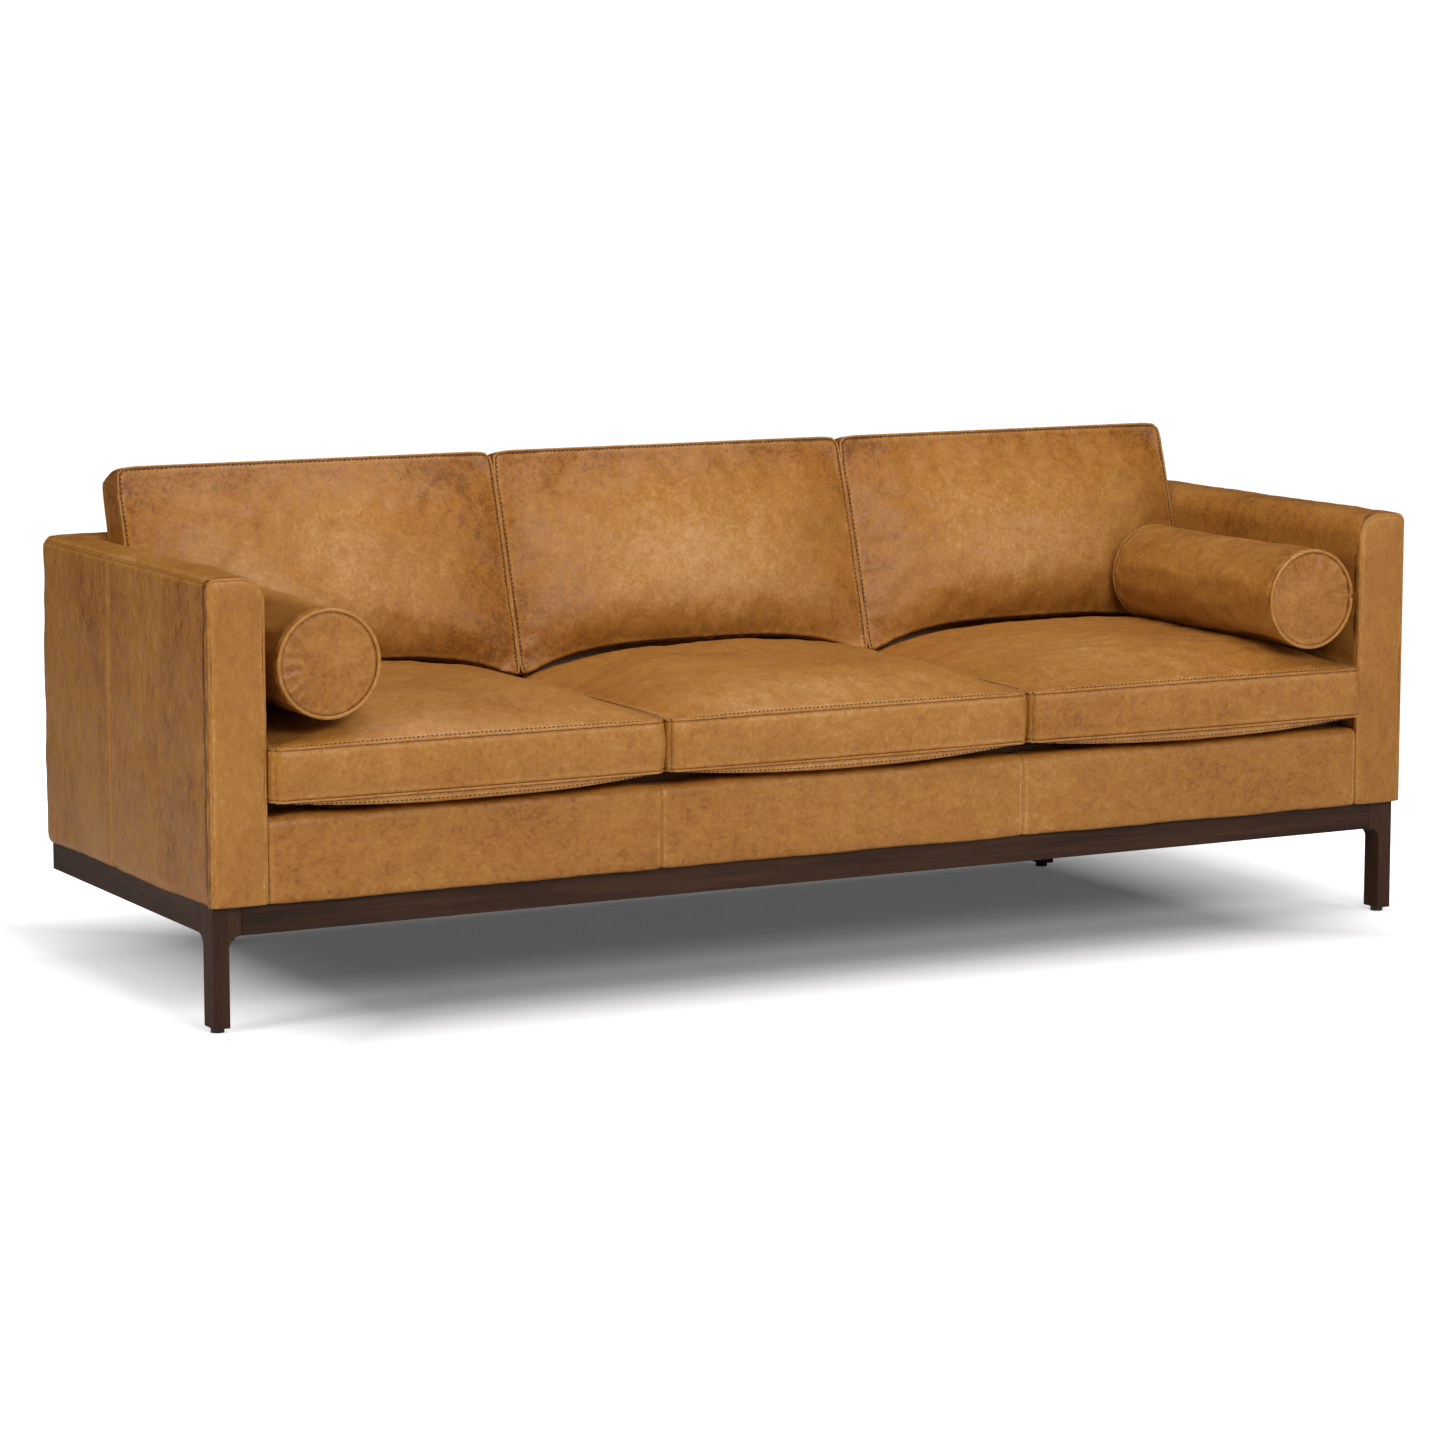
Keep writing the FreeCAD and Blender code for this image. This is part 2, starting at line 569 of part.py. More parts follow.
def back_cushion(inset=0.0):
    """Boxed cushion about x = 0, leaning on the inside back and saddled on the seat crown."""
    half = CUSHION_WIDTH / 2 - inset
    thick = BACK_BOXING - inset
    length = (BACK_TOP_Z - BACK_BOTTOM_Z) / COS_SLOPE - inset
    # local frame: X across, Y forward from the back, Z up the slope
    width_view = loop_face(
        [crown_curve(half, thick, BACK_CROWN, lambda a, d: V(a, d, 0))]
        + chain([V(half, thick, 0), V(half, inset, 0), V(-half, inset, 0), V(-half, thick, 0)]))
    middle = length / 2
    side_view = loop_face(
        [crown_curve(middle, thick, BACK_CROWN, lambda a, d: V(0, d, a + middle))]
        + chain([V(0, thick, length), V(0, inset, length), V(0, inset, 0), V(0, thick, 0)]))
    cushion = width_view.extrude(V(0, 0, length)).common(
        side_view.translated(V(-WIDTH, 0, 0)).extrude(V(2 * WIDTH, 0, 0)))
    # forward becomes -Y, then the cushion leans back with the slope
    cushion.rotate(V(0, 0, 0), V(0, 0, 1), 180)
    cushion.rotate(V(0, 0, 0), V(1, 0, 0), -math.degrees(BACK_SLOPE))
    foot_z = BACK_BOTTOM_Z - BACK_BOXING * math.sin(BACK_SLOPE)
    cushion.translate(V(0, back_y(foot_z) - CUSHION_GAP / COS_SLOPE, foot_z))
    gap = CUSHION_GAP + inset
    saddle = seat_section(0, gap).translated(V(0, -DEPTH, 0)).extrude(V(0, 2 * DEPTH, 0))
    below = box(-WIDTH, WIDTH, -DEPTH, DEPTH, 0, SEAT_SEAM_HIGH + gap)
    return cushion.cut(saddle.fuse(below))


def bolster(inset=0.0):
    """Round bolster about x = 0 with softened end edges."""
    tube = Part.makeCylinder(BOLSTER_RADIUS - inset, BOLSTER_REAR - BOLSTER_FRONT - 2 * inset,
                             V(0, BOLSTER_FRONT + inset, BOLSTER_Z), V(0, 1, 0))
    rims = [e for e in tube.Edges if isinstance(e.Curve, Part.Circle)]
    return tube.makeFillet(BOLSTER_EDGE - inset, rims)


def make_cushions():
    kinds = [("seat_cushion", seat_cushion, SEATS, SEAT_PITCH),
             ("back_cushion", back_cushion, SEATS, SEAT_PITCH),
             ("bolster", bolster, SIDES, BOLSTER_X)]
    nodes = {}
    for kind, make, places, pitch in kinds:
        cover = make().cut(make(LEATHER))
        core = make(LEATHER + CORE_GAP)
        for name, place in places.items():
            shift = V(place * pitch, 0, 0)
            nodes["%s_%s_cover" % (kind, name)] = cover.translated(shift)
            nodes["%s_%s_core" % (kind, name)] = core.translated(shift)
    return nodes


def main():
    os.makedirs("parts", exist_ok=True)
    for nodes in (make_base(), make_timber(), make_suspension(), make_covers(), make_cushions()):
        for name, shape in nodes.items():
            export(name, shape)
            solids = len(shape.Solids)
            bounds = shape.BoundBox
            print("%-26s %2d solid(s) %7.3f dm3  valid %s  z %.1f..%.1f" % (
                name, solids, shape.Volume / 1e6, shape.isValid(), bounds.ZMin, bounds.ZMax))


main()
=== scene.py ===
"""The looks of a three-seat leather sofa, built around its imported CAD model.

Metres.  +X is to the right of someone facing the sofa, the sofa faces -Y and +Z is up.
"""

import math
import types

import bpy
import numpy as np
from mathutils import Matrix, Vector
from mathutils.bvhtree import BVHTree
from mathutils.kdtree import KDTree


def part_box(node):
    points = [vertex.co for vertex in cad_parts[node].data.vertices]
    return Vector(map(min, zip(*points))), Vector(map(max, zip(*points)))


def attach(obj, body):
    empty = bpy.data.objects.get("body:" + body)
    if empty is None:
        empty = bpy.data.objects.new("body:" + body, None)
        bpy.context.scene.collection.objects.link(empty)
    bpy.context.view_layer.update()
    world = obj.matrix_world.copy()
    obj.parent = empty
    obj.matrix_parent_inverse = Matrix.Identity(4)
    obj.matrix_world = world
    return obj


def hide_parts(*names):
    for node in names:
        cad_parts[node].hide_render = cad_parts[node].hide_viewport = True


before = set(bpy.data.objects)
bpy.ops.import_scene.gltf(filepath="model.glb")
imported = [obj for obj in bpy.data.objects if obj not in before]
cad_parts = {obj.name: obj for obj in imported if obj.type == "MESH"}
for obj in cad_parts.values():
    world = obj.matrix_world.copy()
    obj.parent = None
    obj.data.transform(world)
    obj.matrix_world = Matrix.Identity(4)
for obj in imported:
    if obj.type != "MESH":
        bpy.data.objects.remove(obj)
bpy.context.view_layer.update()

# ---- places read from the CAD model -------------------------------------------------------
SIDES = {"left": -1, "right": 1}
SEATS = ("left", "center", "right")

BODY_LOW, BODY_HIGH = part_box("left_arm_outside_cover")
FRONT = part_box("left_arm_front_panel")[0].y
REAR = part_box("outside_back_cover")[1].y
HALF_WIDTH = -BODY_LOW.x
BODY_BOTTOM = BODY_LOW.z
BODY_TOP = BODY_HIGH.z
BORDER_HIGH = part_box("front_border_cover")[1]
ARM_INNER = BORDER_HIGH.x
DECK_LOW, DECK_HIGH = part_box("seat_deck_cloth")

OUTER_RADIUS = 0.014        # top edge outside
INNER_RADIUS = 0.040        # top edge inside the arms
BACK_RADIUS = 0.028         # top edge inside the back
CORNER_RADIUS = 0.050       # rear corners in plan
SIDE_SEAM_Y = 0.055
REAR_SEAM_X = 1.000
BORDER_SEAM_X = 0.350
BORDER_RADIUS = 0.014
SLOPE = math.radians(17.0)  # lean of the inside back
TAN_SLOPE = math.tan(SLOPE)

SEAT_SEAM_LOW = 0.367
SEAT_SEAM_HIGH = 0.453
SEAT_CROWN = 0.050
CROWN_POWER = 3.5
BACK_BOXING = 0.074
BACK_CROWN = 0.040
BACK_SEAM_TOP = 0.845
BACK_FOOT = 0.440

TUCK = 0.009                # leather turned in behind each seam
SKIN = 0.0016
DECK_THICKNESS = 0.009
DUST_THICKNESS = 0.0006
SEAM_INSET = 0.0015         # panels stop this far from the arm fronts
TIDY = 1e-9


def back_y(z):
    """Y of the sloping inside back at height z."""
    return DECK_HIGH.y + (z - DECK_LOW.z) * TAN_SLOPE


# ---- numbers and meshes -------------------------------------------------------------------
def unit(vectors):
    return vectors / np.maximum(np.linalg.norm(vectors, axis=-1, keepdims=True), TIDY)


def waves(points, wavelength, seed, count=16):
    """A smooth random field of about unit height, from a few seeded plane waves."""
    rng = np.random.RandomState(seed)
    directions = unit(rng.normal(size=(count, 3)))
    lengths = wavelength * rng.uniform(0.7, 1.6, count)
    phases = rng.uniform(0, 2 * math.pi, count)
    turns = points @ (directions / lengths[:, None] * 2 * math.pi).T + phases
    return np.sin(turns).sum(axis=-1) * math.sqrt(2 / count)


def spaced(length, step=0.011, edge=(0.0, 0.0025, 0.0055, 0.0080, 0.0105, 0.018)):
    """Distances from 0 to length, closer together near both ends."""
    ends = np.array(edge)
    count = max(4, round((length - 2 * ends[-1]) / step) + 1)
    middle = np.linspace(ends[-1], length - ends[-1], count)
    return np.concatenate([ends[:-1], middle, length - ends[:-1][::-1]])


def grid_normals(points):
    return unit(np.cross(np.gradient(points, axis=0), np.gradient(points, axis=1)))


def grid_quads(rows, cols, wrap=False):
    i = np.arange(rows - 1)[:, None]
    j = np.arange(cols if wrap else cols - 1)[None, :]
    a = i * cols + j
    b = i * cols + (j + 1) % cols
    return np.stack([a, b, b + cols, a + cols], axis=-1).reshape(-1, 4)


def add_mesh(name, points, faces, material, body="root", wear_and_painted_light=None):
    mesh = bpy.data.meshes.new(name)
    mesh.from_pydata(np.asarray(points).reshape(-1, 3).tolist(), [], [list(f) for f in faces])
    mesh.update()
    mesh.shade_smooth()
    mesh.materials.append(material)
    # Per-vertex tone offset: rubbed wear together with painted shade and painted highlights.
    if wear_and_painted_light is not None:
        layer = mesh.attributes.new("wear_and_painted_light", "FLOAT", "POINT")
        layer.data.foreach_set("value", np.asarray(wear_and_painted_light, np.float32).ravel())
    obj = bpy.data.objects.new(name, mesh)
    bpy.context.scene.collection.objects.link(obj)
    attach(obj, body)
    return obj


def thicken(obj, thickness, offset=-1):
    skin = obj.modifiers.new("Skin", "SOLIDIFY")
    skin.thickness = thickness
    skin.offset = offset


def run_along(path):
    """Distance along a path to each of its points."""
    return np.concatenate([[0], np.cumsum(np.linalg.norm(np.diff(path, axis=0), axis=1))])


def resample(path, spacing):
    """Arrays that run along path together, taken at an even spacing of its first array."""
    along = run_along(path[0])
    at = np.arange(spacing / 2, along[-1], spacing)
    return [np.stack([np.interp(at, along, a[:, k]) for k in range(3)], axis=1) for a in path]


def closed_path(loop):
    return np.concatenate([loop, loop[:1]])


def sections(tangent, normals, sides):
    """Unit circles square to a line, and the line's upward direction."""
    up = unit(normals - (normals * tangent).sum(-1, keepdims=True) * tangent)
    side = np.cross(tangent, up)
    angles = np.arange(sides) * 2 * math.pi / sides
    return (np.cos(angles)[None, :, None] * up[:, None]
            + np.sin(angles)[None, :, None] * side[:, None]), up


def tube(path, normals, radius, closed=False, sides=8):
    """Vertices and faces of a round cord along path."""
    if closed:
        tangent = unit(np.roll(path, -1, axis=0) - np.roll(path, 1, axis=0))
    else:
        tangent = unit(np.gradient(path, axis=0))
    rings = path[:, None] + radius * sections(tangent, normals, sides)[0]
    quads = grid_quads(len(path), sides, wrap=True)
    if closed:
        last = (len(path) - 1) * sides
        j = np.arange(sides)
        k = (j + 1) % sides
        quads = np.concatenate([quads, np.stack([last + j, last + k, k, j], axis=-1)])
        return rings.reshape(-1, 3), [list(q) for q in quads]
    caps = [list(range(sides))[::-1], list(range(len(rings) * sides - sides, len(rings) * sides))]
    return rings.reshape(-1, 3), [list(q) for q in quads] + caps


STITCH_RINGS = ((-0.5, 0.35, -0.8), (-0.3, 1.0, 0.0), (0.3, 1.0, 0.0), (0.5, 0.35, -0.8))


def stitch_marks(path, normals, length=0.0048, spacing=0.0080, radius=0.00105):
    """Vertices and faces of a row of stitches that dip into the leather at their ends."""
    at, up = resample([path, normals], spacing)
    tangent = unit(np.gradient(at, axis=0))
    circles, up = sections(tangent, up, 6)
    rings = []
    for along, scale, sink in STITCH_RINGS:
        centre = at + tangent * along * length + up * sink * radius
        rings.append(centre[:, None] + radius * scale * circles)
    vertices = np.stack(rings, axis=1).reshape(-1, 3)
    one = [list(q) for q in grid_quads(len(STITCH_RINGS), 6, wrap=True)]
    one += [list(range(6))[::-1], list(range(18, 24))]
    return vertices, [[24 * k + v for v in f] for k in range(len(at)) for f in one]


def merged(parts):
    """One list of vertices and faces out of several."""
    vertices, faces, start = [], [], 0
    for points, quads in parts:
        vertices.append(points)
        faces += [[start + v for v in f] for f in quads]
        start += len(points)
    return np.concatenate(vertices), faces


# ---- materials ----------------------------------------------------------------------------
class Nodes:
    """The node tree of a material or a world, with the few shortcuts used below."""

    def __init__(self, owner):
        owner.use_nodes = True
        self.owner = owner
        self.tree = owner.node_tree
        self.shader = self.tree.nodes.get("Principled BSDF")

    def add(self, kind, inputs=(), **settings):
        node = self.tree.nodes.new("ShaderNode" + kind)
        for key, value in settings.items():
            setattr(node, key, value)
        for key, value in dict(inputs).items():
            if isinstance(value, bpy.types.NodeSocket):
                self.tree.links.new(value, node.inputs[key])
            else:
                node.inputs[key].default_value = value
        return node

    def coordinates(self, scale=(1, 1, 1), location=(0, 0, 0)):
        place = self.add("TexCoord").outputs["Object"]
        return self.add("Mapping", {"Vector": place, "Scale": scale,
                                    "Location": location}).outputs["Vector"]

    def noise(self, vector, scale, detail=3.0, roughness=0.5, distortion=0.0):
        return self.add("TexNoise", {"Vector": vector, "Scale": scale, "Detail": detail,
                                     "Roughness": roughness,
                                     "Distortion": distortion}).outputs["Fac"]

    def math(self, operation, a, b=0.0):
        return self.add("Math", {0: a, 1: b}, operation=operation).outputs[0]

    def total(self, *terms):
        """Sum of fields, each with its weight."""
        parts = [self.math("MULTIPLY", value, weight) for value, weight in terms]
        out = parts[0]
        for part in parts[1:]:
            out = self.math("ADD", out, part)
        return out

    def span(self, value, low, high, to_low=0.0, to_high=1.0):
        return self.add("MapRange", {"Value": value, "From Min": low, "From Max": high,
                                     "To Min": to_low, "To Max": to_high}).outputs["Result"]

    def ramp(self, fac, stops):
        node = self.add("ValToRGB", {"Fac": fac})
        elements = node.color_ramp.elements
        while len(elements) < len(stops):
            elements.new(0.5)
        for element, (position, colour) in zip(elements, stops):
            element.position = position
            element.color = (*colour, 1)
        return node.outputs["Color"]

    def mix(self, fac, a, b, blend="MIX"):
        node = self.add("Mix", {0: fac, 6: a, 7: b}, data_type="RGBA", blend_type=blend)
        return node.outputs[2]

    def bump(self, height, strength, distance, normal=None):
        inputs = {"Height": height, "Strength": strength, "Distance": distance}
        if normal is not None:
            inputs["Normal"] = normal
        return self.add("Bump", inputs).outputs["Normal"]

    def finish(self, colour, roughness, normal=None, **plain):
        for key, value in (("Base Color", colour), ("Roughness", roughness), ("Normal", normal)):
            if isinstance(value, bpy.types.NodeSocket):
                self.tree.links.new(value, self.shader.inputs[key])
            elif value is not None:
                self.shader.inputs[key].default_value = value
        for key, value in plain.items():
            self.shader.inputs[key.replace("_", " ")].default_value = value
        return self.owner


# The darkest stop is painted shade for the bottoms of seam grooves; the palest stop is the colour of
# pale scuffs and also of painted sheen.
LEATHER_GROOVE_SHADE = (0.035, 0.010, 0.0025)
LEATHER_DARK = (0.165, 0.054, 0.0080)
LEATHER_MID = (0.285, 0.108, 0.0180)
LEATHER_AMBER = (0.350, 0.150, 0.0280)
LEATHER_SCUFF_AND_SHEEN = (0.520, 0.290, 0.1150)
LEATHER_SHEEN = (1.0, 0.91, 0.80, 1.0)


def leather(name, seed, stretch=(1, 1, 1), contrast=1.0):
    """Waxed pull-up leather: blotches, short streaks, pale scuffs, pores and fine creases."""
    n = Nodes(bpy.data.materials.new(name))
    rng = np.random.RandomState(seed)
    at = n.coordinates(stretch, tuple(rng.uniform(-9, 9, 3)))
    plain = n.coordinates()
    blotch = n.noise(at, 3.6, 3, 0.5, 0.5)
    mottle = n.noise(at, 46, 7, 0.70, 0.7)
    speck = n.noise(at, 170, 4, 0.62, 0.3)
    # This attribute is a tone offset per vertex: partly rubbed wear, partly painted shade in the
    # seam grooves and painted highlights and sheen.
    wear_and_painted_light = n.add("Attribute", attribute_name="wear_and_painted_light", attribute_type="GEOMETRY").outputs["Fac"]
    tone = n.total((blotch, 0.26), (mottle, 0.34), (speck, 0.30), (wear_and_painted_light, 0.30))
    low, high = 0.60 - 0.14 / contrast, 0.60 + 0.05 / contrast
    colour = n.ramp(tone, [(0.22, LEATHER_GROOVE_SHADE), (low, LEATHER_DARK),
                           ((low + high) / 2, LEATHER_MID), (high, LEATHER_AMBER),
                           (0.86, LEATHER_SCUFF_AND_SHEEN)])
    strand = n.noise(at, 22, 5, 0.62, 1.6)
    line = n.span(n.math("ABSOLUTE", n.math("SUBTRACT", strand, 0.5)), 0.0, 0.010, 1.0, 0.0)
    patch = n.span(n.noise(at, 8, 2), 0.48, 0.66)
    scuff = n.math("MULTIPLY", n.math("MULTIPLY", line, patch), 0.30)
    colour = n.mix(scuff, colour, (*LEATHER_SCUFF_AND_SHEEN, 1))
    pores = n.add("TexVoronoi", {"Vector": plain, "Scale": 620.0, "Randomness": 0.9},
                  feature="SMOOTH_F1").outputs["Distance"]
    crease = n.noise(at, 85, 6, 0.62, 0.6)
    normal = n.bump(crease, 0.20, 0.0014)
    normal = n.bump(pores, 0.18, 0.0005, normal)
    roughness = n.span(n.total((mottle, 0.6), (scuff, 0.5)), 0.2, 0.5, 0.40, 0.54)
    return n.finish(colour, roughness, normal, Specular_IOR_Level=0.32,
                    Specular_Tint=LEATHER_SHEEN)


def wood(name, axis, dark, light, roughness, specular):
    """Straight grain along one axis (0, 1 or 2), with pores and slow colour drift."""
    n = Nodes(bpy.data.materials.new(name))
    scale = [1.0, 1.0, 1.0]
    scale[axis] = 0.055
    at = n.coordinates(tuple(scale))
    grain = n.noise(at, 70, 6, 0.62, 0.35)
    pore = n.noise(at, 420, 3, 0.7, 0.1)
    drift = n.noise(at, 9, 3, 0.5, 0.8)
    tone = n.total((grain, 0.5), (drift, 0.35), (pore, 0.15))
    colour = n.ramp(tone, [(0.36, dark), (0.66, light)])
    normal = n.bump(n.math("ADD", grain, pore), 0.18, 0.0006)
    rough = n.span(pore, 0.3, 0.7, roughness - 0.05, roughness + 0.08)
    return n.finish(colour, rough, normal, Specular_IOR_Level=specular)


def cloth(name, colour, threads, roughness=0.85):
    """Woven cloth: two crossed sets of threads, in every axis so that no layout is needed."""
    n = Nodes(bpy.data.materials.new(name))
    at = n.coordinates()
    across, along, upward = [
        n.add("TexWave", {"Vector": at, "Scale": threads}, bands_direction=axis).outputs["Fac"]
        for axis in "XYZ"]
    weave = n.math("MULTIPLY", n.math("MAXIMUM", across, along), n.math("MAXIMUM", along, upward))
    fade = n.span(n.noise(at, 9, 4), 0.3, 0.7, 0.0, 0.3)
    light = tuple(min(1.0, c * 1.7 + 0.01) for c in colour)
    shade = n.ramp(n.math("ADD", n.math("MULTIPLY", weave, 0.7), fade),
                   [(0.1, tuple(c * 0.5 for c in colour)), (0.9, light)])
    normal = n.bump(weave, 0.5, 0.0004)
    return n.finish(shade, roughness, normal, Sheen_Weight=0.2)


def metal(name, colour, roughness, brushed=(1, 1, 1)):
    n = Nodes(bpy.data.materials.new(name))
    at = n.coordinates(brushed)
    marks = n.noise(at, 260, 4, 0.7)
    tarnish = n.noise(at, 14, 5, 0.6, 0.4)
    shade = n.ramp(tarnish, [(0.3, tuple(c * 0.6 for c in colour)), (0.7, colour)])
    rough = n.span(marks, 0.3, 0.7, roughness - 0.08, roughness + 0.1)
    return n.finish(shade, rough, n.bump(marks, 0.1, 0.0003), Metallic=1.0)


def soft_plastic(name, colour, roughness):
    n = Nodes(bpy.data.materials.new(name))
    at = n.coordinates()
    grain = n.noise(at, 900, 2, 0.6)
    scuffs = n.span(n.noise(at, 60, 5, 0.7, 1.0), 0.5, 0.75, 0.0, 0.5)
    shade = n.mix(scuffs, (*colour, 1), (*(min(1.0, c * 2.5) for c in colour), 1))
    return n.finish(shade, n.span(scuffs, 0.0, 0.5, roughness, roughness + 0.2),
                    n.bump(grain, 0.25, 0.0002))


WALNUT_DARK, WALNUT_LIGHT = (0.0170, 0.0065, 0.0032), (0.0640, 0.0260, 0.0120)
PINE_DARK, PINE_LIGHT = (0.42, 0.27, 0.13), (0.68, 0.50, 0.30)
walnut = [wood("walnut_" + "xyz"[k], k, WALNUT_DARK, WALNUT_LIGHT, 0.50, 0.16) for k in range(3)]
timber = [wood("timber_" + "xyz"[k], k, PINE_DARK, PINE_LIGHT, 0.70, 0.30) for k in range(3)]
spring_steel = metal("spring_steel", (0.36, 0.37, 0.40), 0.38)
zinc_steel = metal("zinc_steel", (0.60, 0.60, 0.55), 0.34)
webbing = cloth("webbing", (0.10, 0.09, 0.08), 220)
deck_cloth = cloth("deck_cloth", (0.15, 0.085, 0.045), 300)
black_cloth = cloth("black_cloth", (0.02, 0.02, 0.02), 260)
glide_plastic = soft_plastic("glide_plastic", (0.03, 0.03, 0.03), 0.5)
thread = cloth("thread", (0.030, 0.012, 0.004), 900, 0.8)
hides = {
    "side": leather("leather_side", 11, (1.0, 1.0, 0.6), 0.75),
    "outer": leather("leather_outer", 16, (1.2, 1.2, 0.5), 1.25),
    "top": leather("leather_top", 12),
    "rear": leather("leather_rear", 13, (1.0, 1.0, 0.7)),
    "border": leather("leather_border", 14, (0.8, 1.0, 1.0)),
    "welt": leather("leather_welt", 15),
}

KEPT = (
    (walnut[0], "base_front_rail base_rear_rail"),
    (walnut[1], "base_left_rail base_right_rail"),
    (walnut[2], "front_left_leg front_right_leg rear_left_leg rear_right_leg"),
    (timber[0], "seat_front_rail seat_spring_rail back_bottom_rail back_top_rail"),
    (timber[1], "base_stretchers seat_braces left_arm_top_rail right_arm_top_rail "
                "arm_bottom_rails"),
    (timber[2], "back_posts corner_blocks left_arm_posts right_arm_posts"),
    (zinc_steel, "base_bolts spring_clips"),
    (spring_steel, "seat_springs"),
    (webbing, "back_webbing"),
    (glide_plastic, "leg_glides"),
)
for node_material, node_names in KEPT:
    for node_name in node_names.split():
        for node_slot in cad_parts[node_name].material_slots:
            node_slot.link = "DATA"
            node_slot.material = node_material


# ---- leather of the body ------------------------------------------------------------------
SEAM_SINK = 0.0024
SEAM_REACH = 0.0042
STITCH_EDGE = 0.0105        # row 4 of the grids made with spaced()
welts = []
stitches = []


class Panel:
    """A sewn piece of leather over the grid of places it covers."""

    def __init__(self, name, points, u, v, hide, out=1, puff=0.002, sewn="uUvV", seed=0,
                 body="root", bumps=0.0011, normal=None, stitched="",
                 edge=None):
        """u and v are distances along rows and columns; sewn names the edges with a seam,
        stitched those with a row of stitches beside it."""
        if normal is None:
            normal = out * grid_normals(points)
        edge = np.full(points.shape[:2], 1.0) if edge is None else edge
        sides = {"u": u[:, None], "U": u[-1] - u[:, None],
                 "v": v[None, :], "V": v[-1] - v[None, :]}
        for key in sewn:
            edge = np.minimum(edge, sides[key])
        rise = puff * (1 - np.exp(-edge / 0.030)) - SEAM_SINK * np.exp(-edge / SEAM_REACH)
        calm = np.clip(edge / 0.04, 0, 1)
        rise += bumps * waves(points, 0.16, seed) * calm
        rise += 0.00035 * waves(points, 0.035, seed + 1) * np.clip(edge / 0.012, 0, 1)
        self.points = points + normal * rise[..., None]
        self.normal = normal
        padded = np.pad(self.points, ((1, 1), (1, 1), (0, 0)), mode="edge")
        inward = np.pad(normal, ((1, 1), (1, 1), (0, 0)), mode="edge")
        for border in (np.s_[0], np.s_[-1], np.s_[:, 0], np.s_[:, -1]):
            padded[border] -= inward[border] * TUCK
        # Tone beside the seams: painted shade in the sunk seam itself, and a paler band about 5 mm
        # in that is partly rubbed wear and partly a painted highlight on the ridge.
        wear_and_painted_light = 0.5 + 0.35 * np.exp(-((edge - 0.005) / 0.004) ** 2) - 0.70 * np.exp(-edge / 0.0020)
        # A thin line of painted shade along each row of stitches.
        for key in stitched:
            wear_and_painted_light = wear_and_painted_light - 0.75 * np.exp(-((sides[key] - STITCH_EDGE) / 0.0014) ** 2)
        wear_and_painted_light = np.pad(wear_and_painted_light, 1, mode="edge")
        faces = grid_quads(*padded.shape[:2])
        if out < 0:
            faces = faces[:, ::-1]
        self.obj = add_mesh(name, padded, faces, hide, body, wear_and_painted_light)
        thicken(self.obj, SKIN)

    def line(self, row=None, col=None):
        """Places and normals along one row or column of the grid."""
        where = (row, slice(None)) if col is None else (slice(None), col)
        return self.points[where], self.normal[where]


SEAM_WEAR_AND_HIGHLIGHT = 0.66            # seams are paler than the leather beside them: rubbed wear and a painted highlight on the raised ridge


def rubbed_and_highlit(parts):
    """Merged seams with their paler tone: rubbed wear and a painted highlight on the raised ridge.
    """
    vertices, faces = merged(parts)
    return {"points": vertices, "faces": faces, "wear_and_painted_light": np.full(len(vertices), SEAM_WEAR_AND_HIGHLIGHT)}


def add_welt(path, normals, radius=0.0019, lift=0.0012, closed=False):
    welts.append(tube(path + normals * lift, normals, radius, closed))


def add_stitches(path, normals, lift=0.0003):
    stitches.append(stitch_marks(path + normals * lift, normals))


# outside: one path in plan round the left side, the back and the right side
SIDE_RUN = REAR - CORNER_RADIUS - FRONT
CORNER_RUN = CORNER_RADIUS * math.pi / 2
REAR_RUN = 2 * (HALF_WIDTH - CORNER_RADIUS)
SEAM_ANGLE = math.radians(38.0)
TOP_START = BODY_TOP - OUTER_RADIUS


def outline(s, inset=0.0):
    """Plan place and outward normal at distance s from the left front, inset into the body."""
    s = np.asarray(s, float)
    mirror = s > SIDE_RUN + CORNER_RUN + REAR_RUN / 2
    s = np.where(mirror, 2 * (SIDE_RUN + CORNER_RUN) + REAR_RUN - s, s)
    angle = np.clip((s - SIDE_RUN) / CORNER_RADIUS, 0, math.pi / 2)
    nx, ny = -np.cos(angle), np.sin(angle)
    x = -(HALF_WIDTH - CORNER_RADIUS) + (CORNER_RADIUS - inset) * nx
    y = REAR - CORNER_RADIUS + (CORNER_RADIUS - inset) * ny
    y = y + np.minimum(s - SIDE_RUN, 0)
    x = x + np.maximum(s - SIDE_RUN - CORNER_RUN, 0)
    sign = np.where(mirror, -1.0, 1.0)
    return np.stack([x * sign, y], axis=-1), np.stack([nx * sign, ny], axis=-1)


def outside_points(s, h):
    """Places on the outside: s along the outline, h up the wall and over the top edge."""
    wall = TOP_START - BODY_BOTTOM
    turn = np.clip((h - wall) / OUTER_RADIUS, 0, math.pi / 2)
    inset = OUTER_RADIUS * (1 - np.cos(turn))
    foot = 0.004 * np.exp(-h / 0.006)
    place, _ = outline(np.repeat(s[:, None], len(h), axis=1), (inset + foot)[None, :])
    z = np.minimum(BODY_BOTTOM + h, TOP_START) + OUTER_RADIUS * np.sin(turn)
    return np.concatenate([place, np.broadcast_to(z[None, :, None], (*place.shape[:2], 1))], -1)


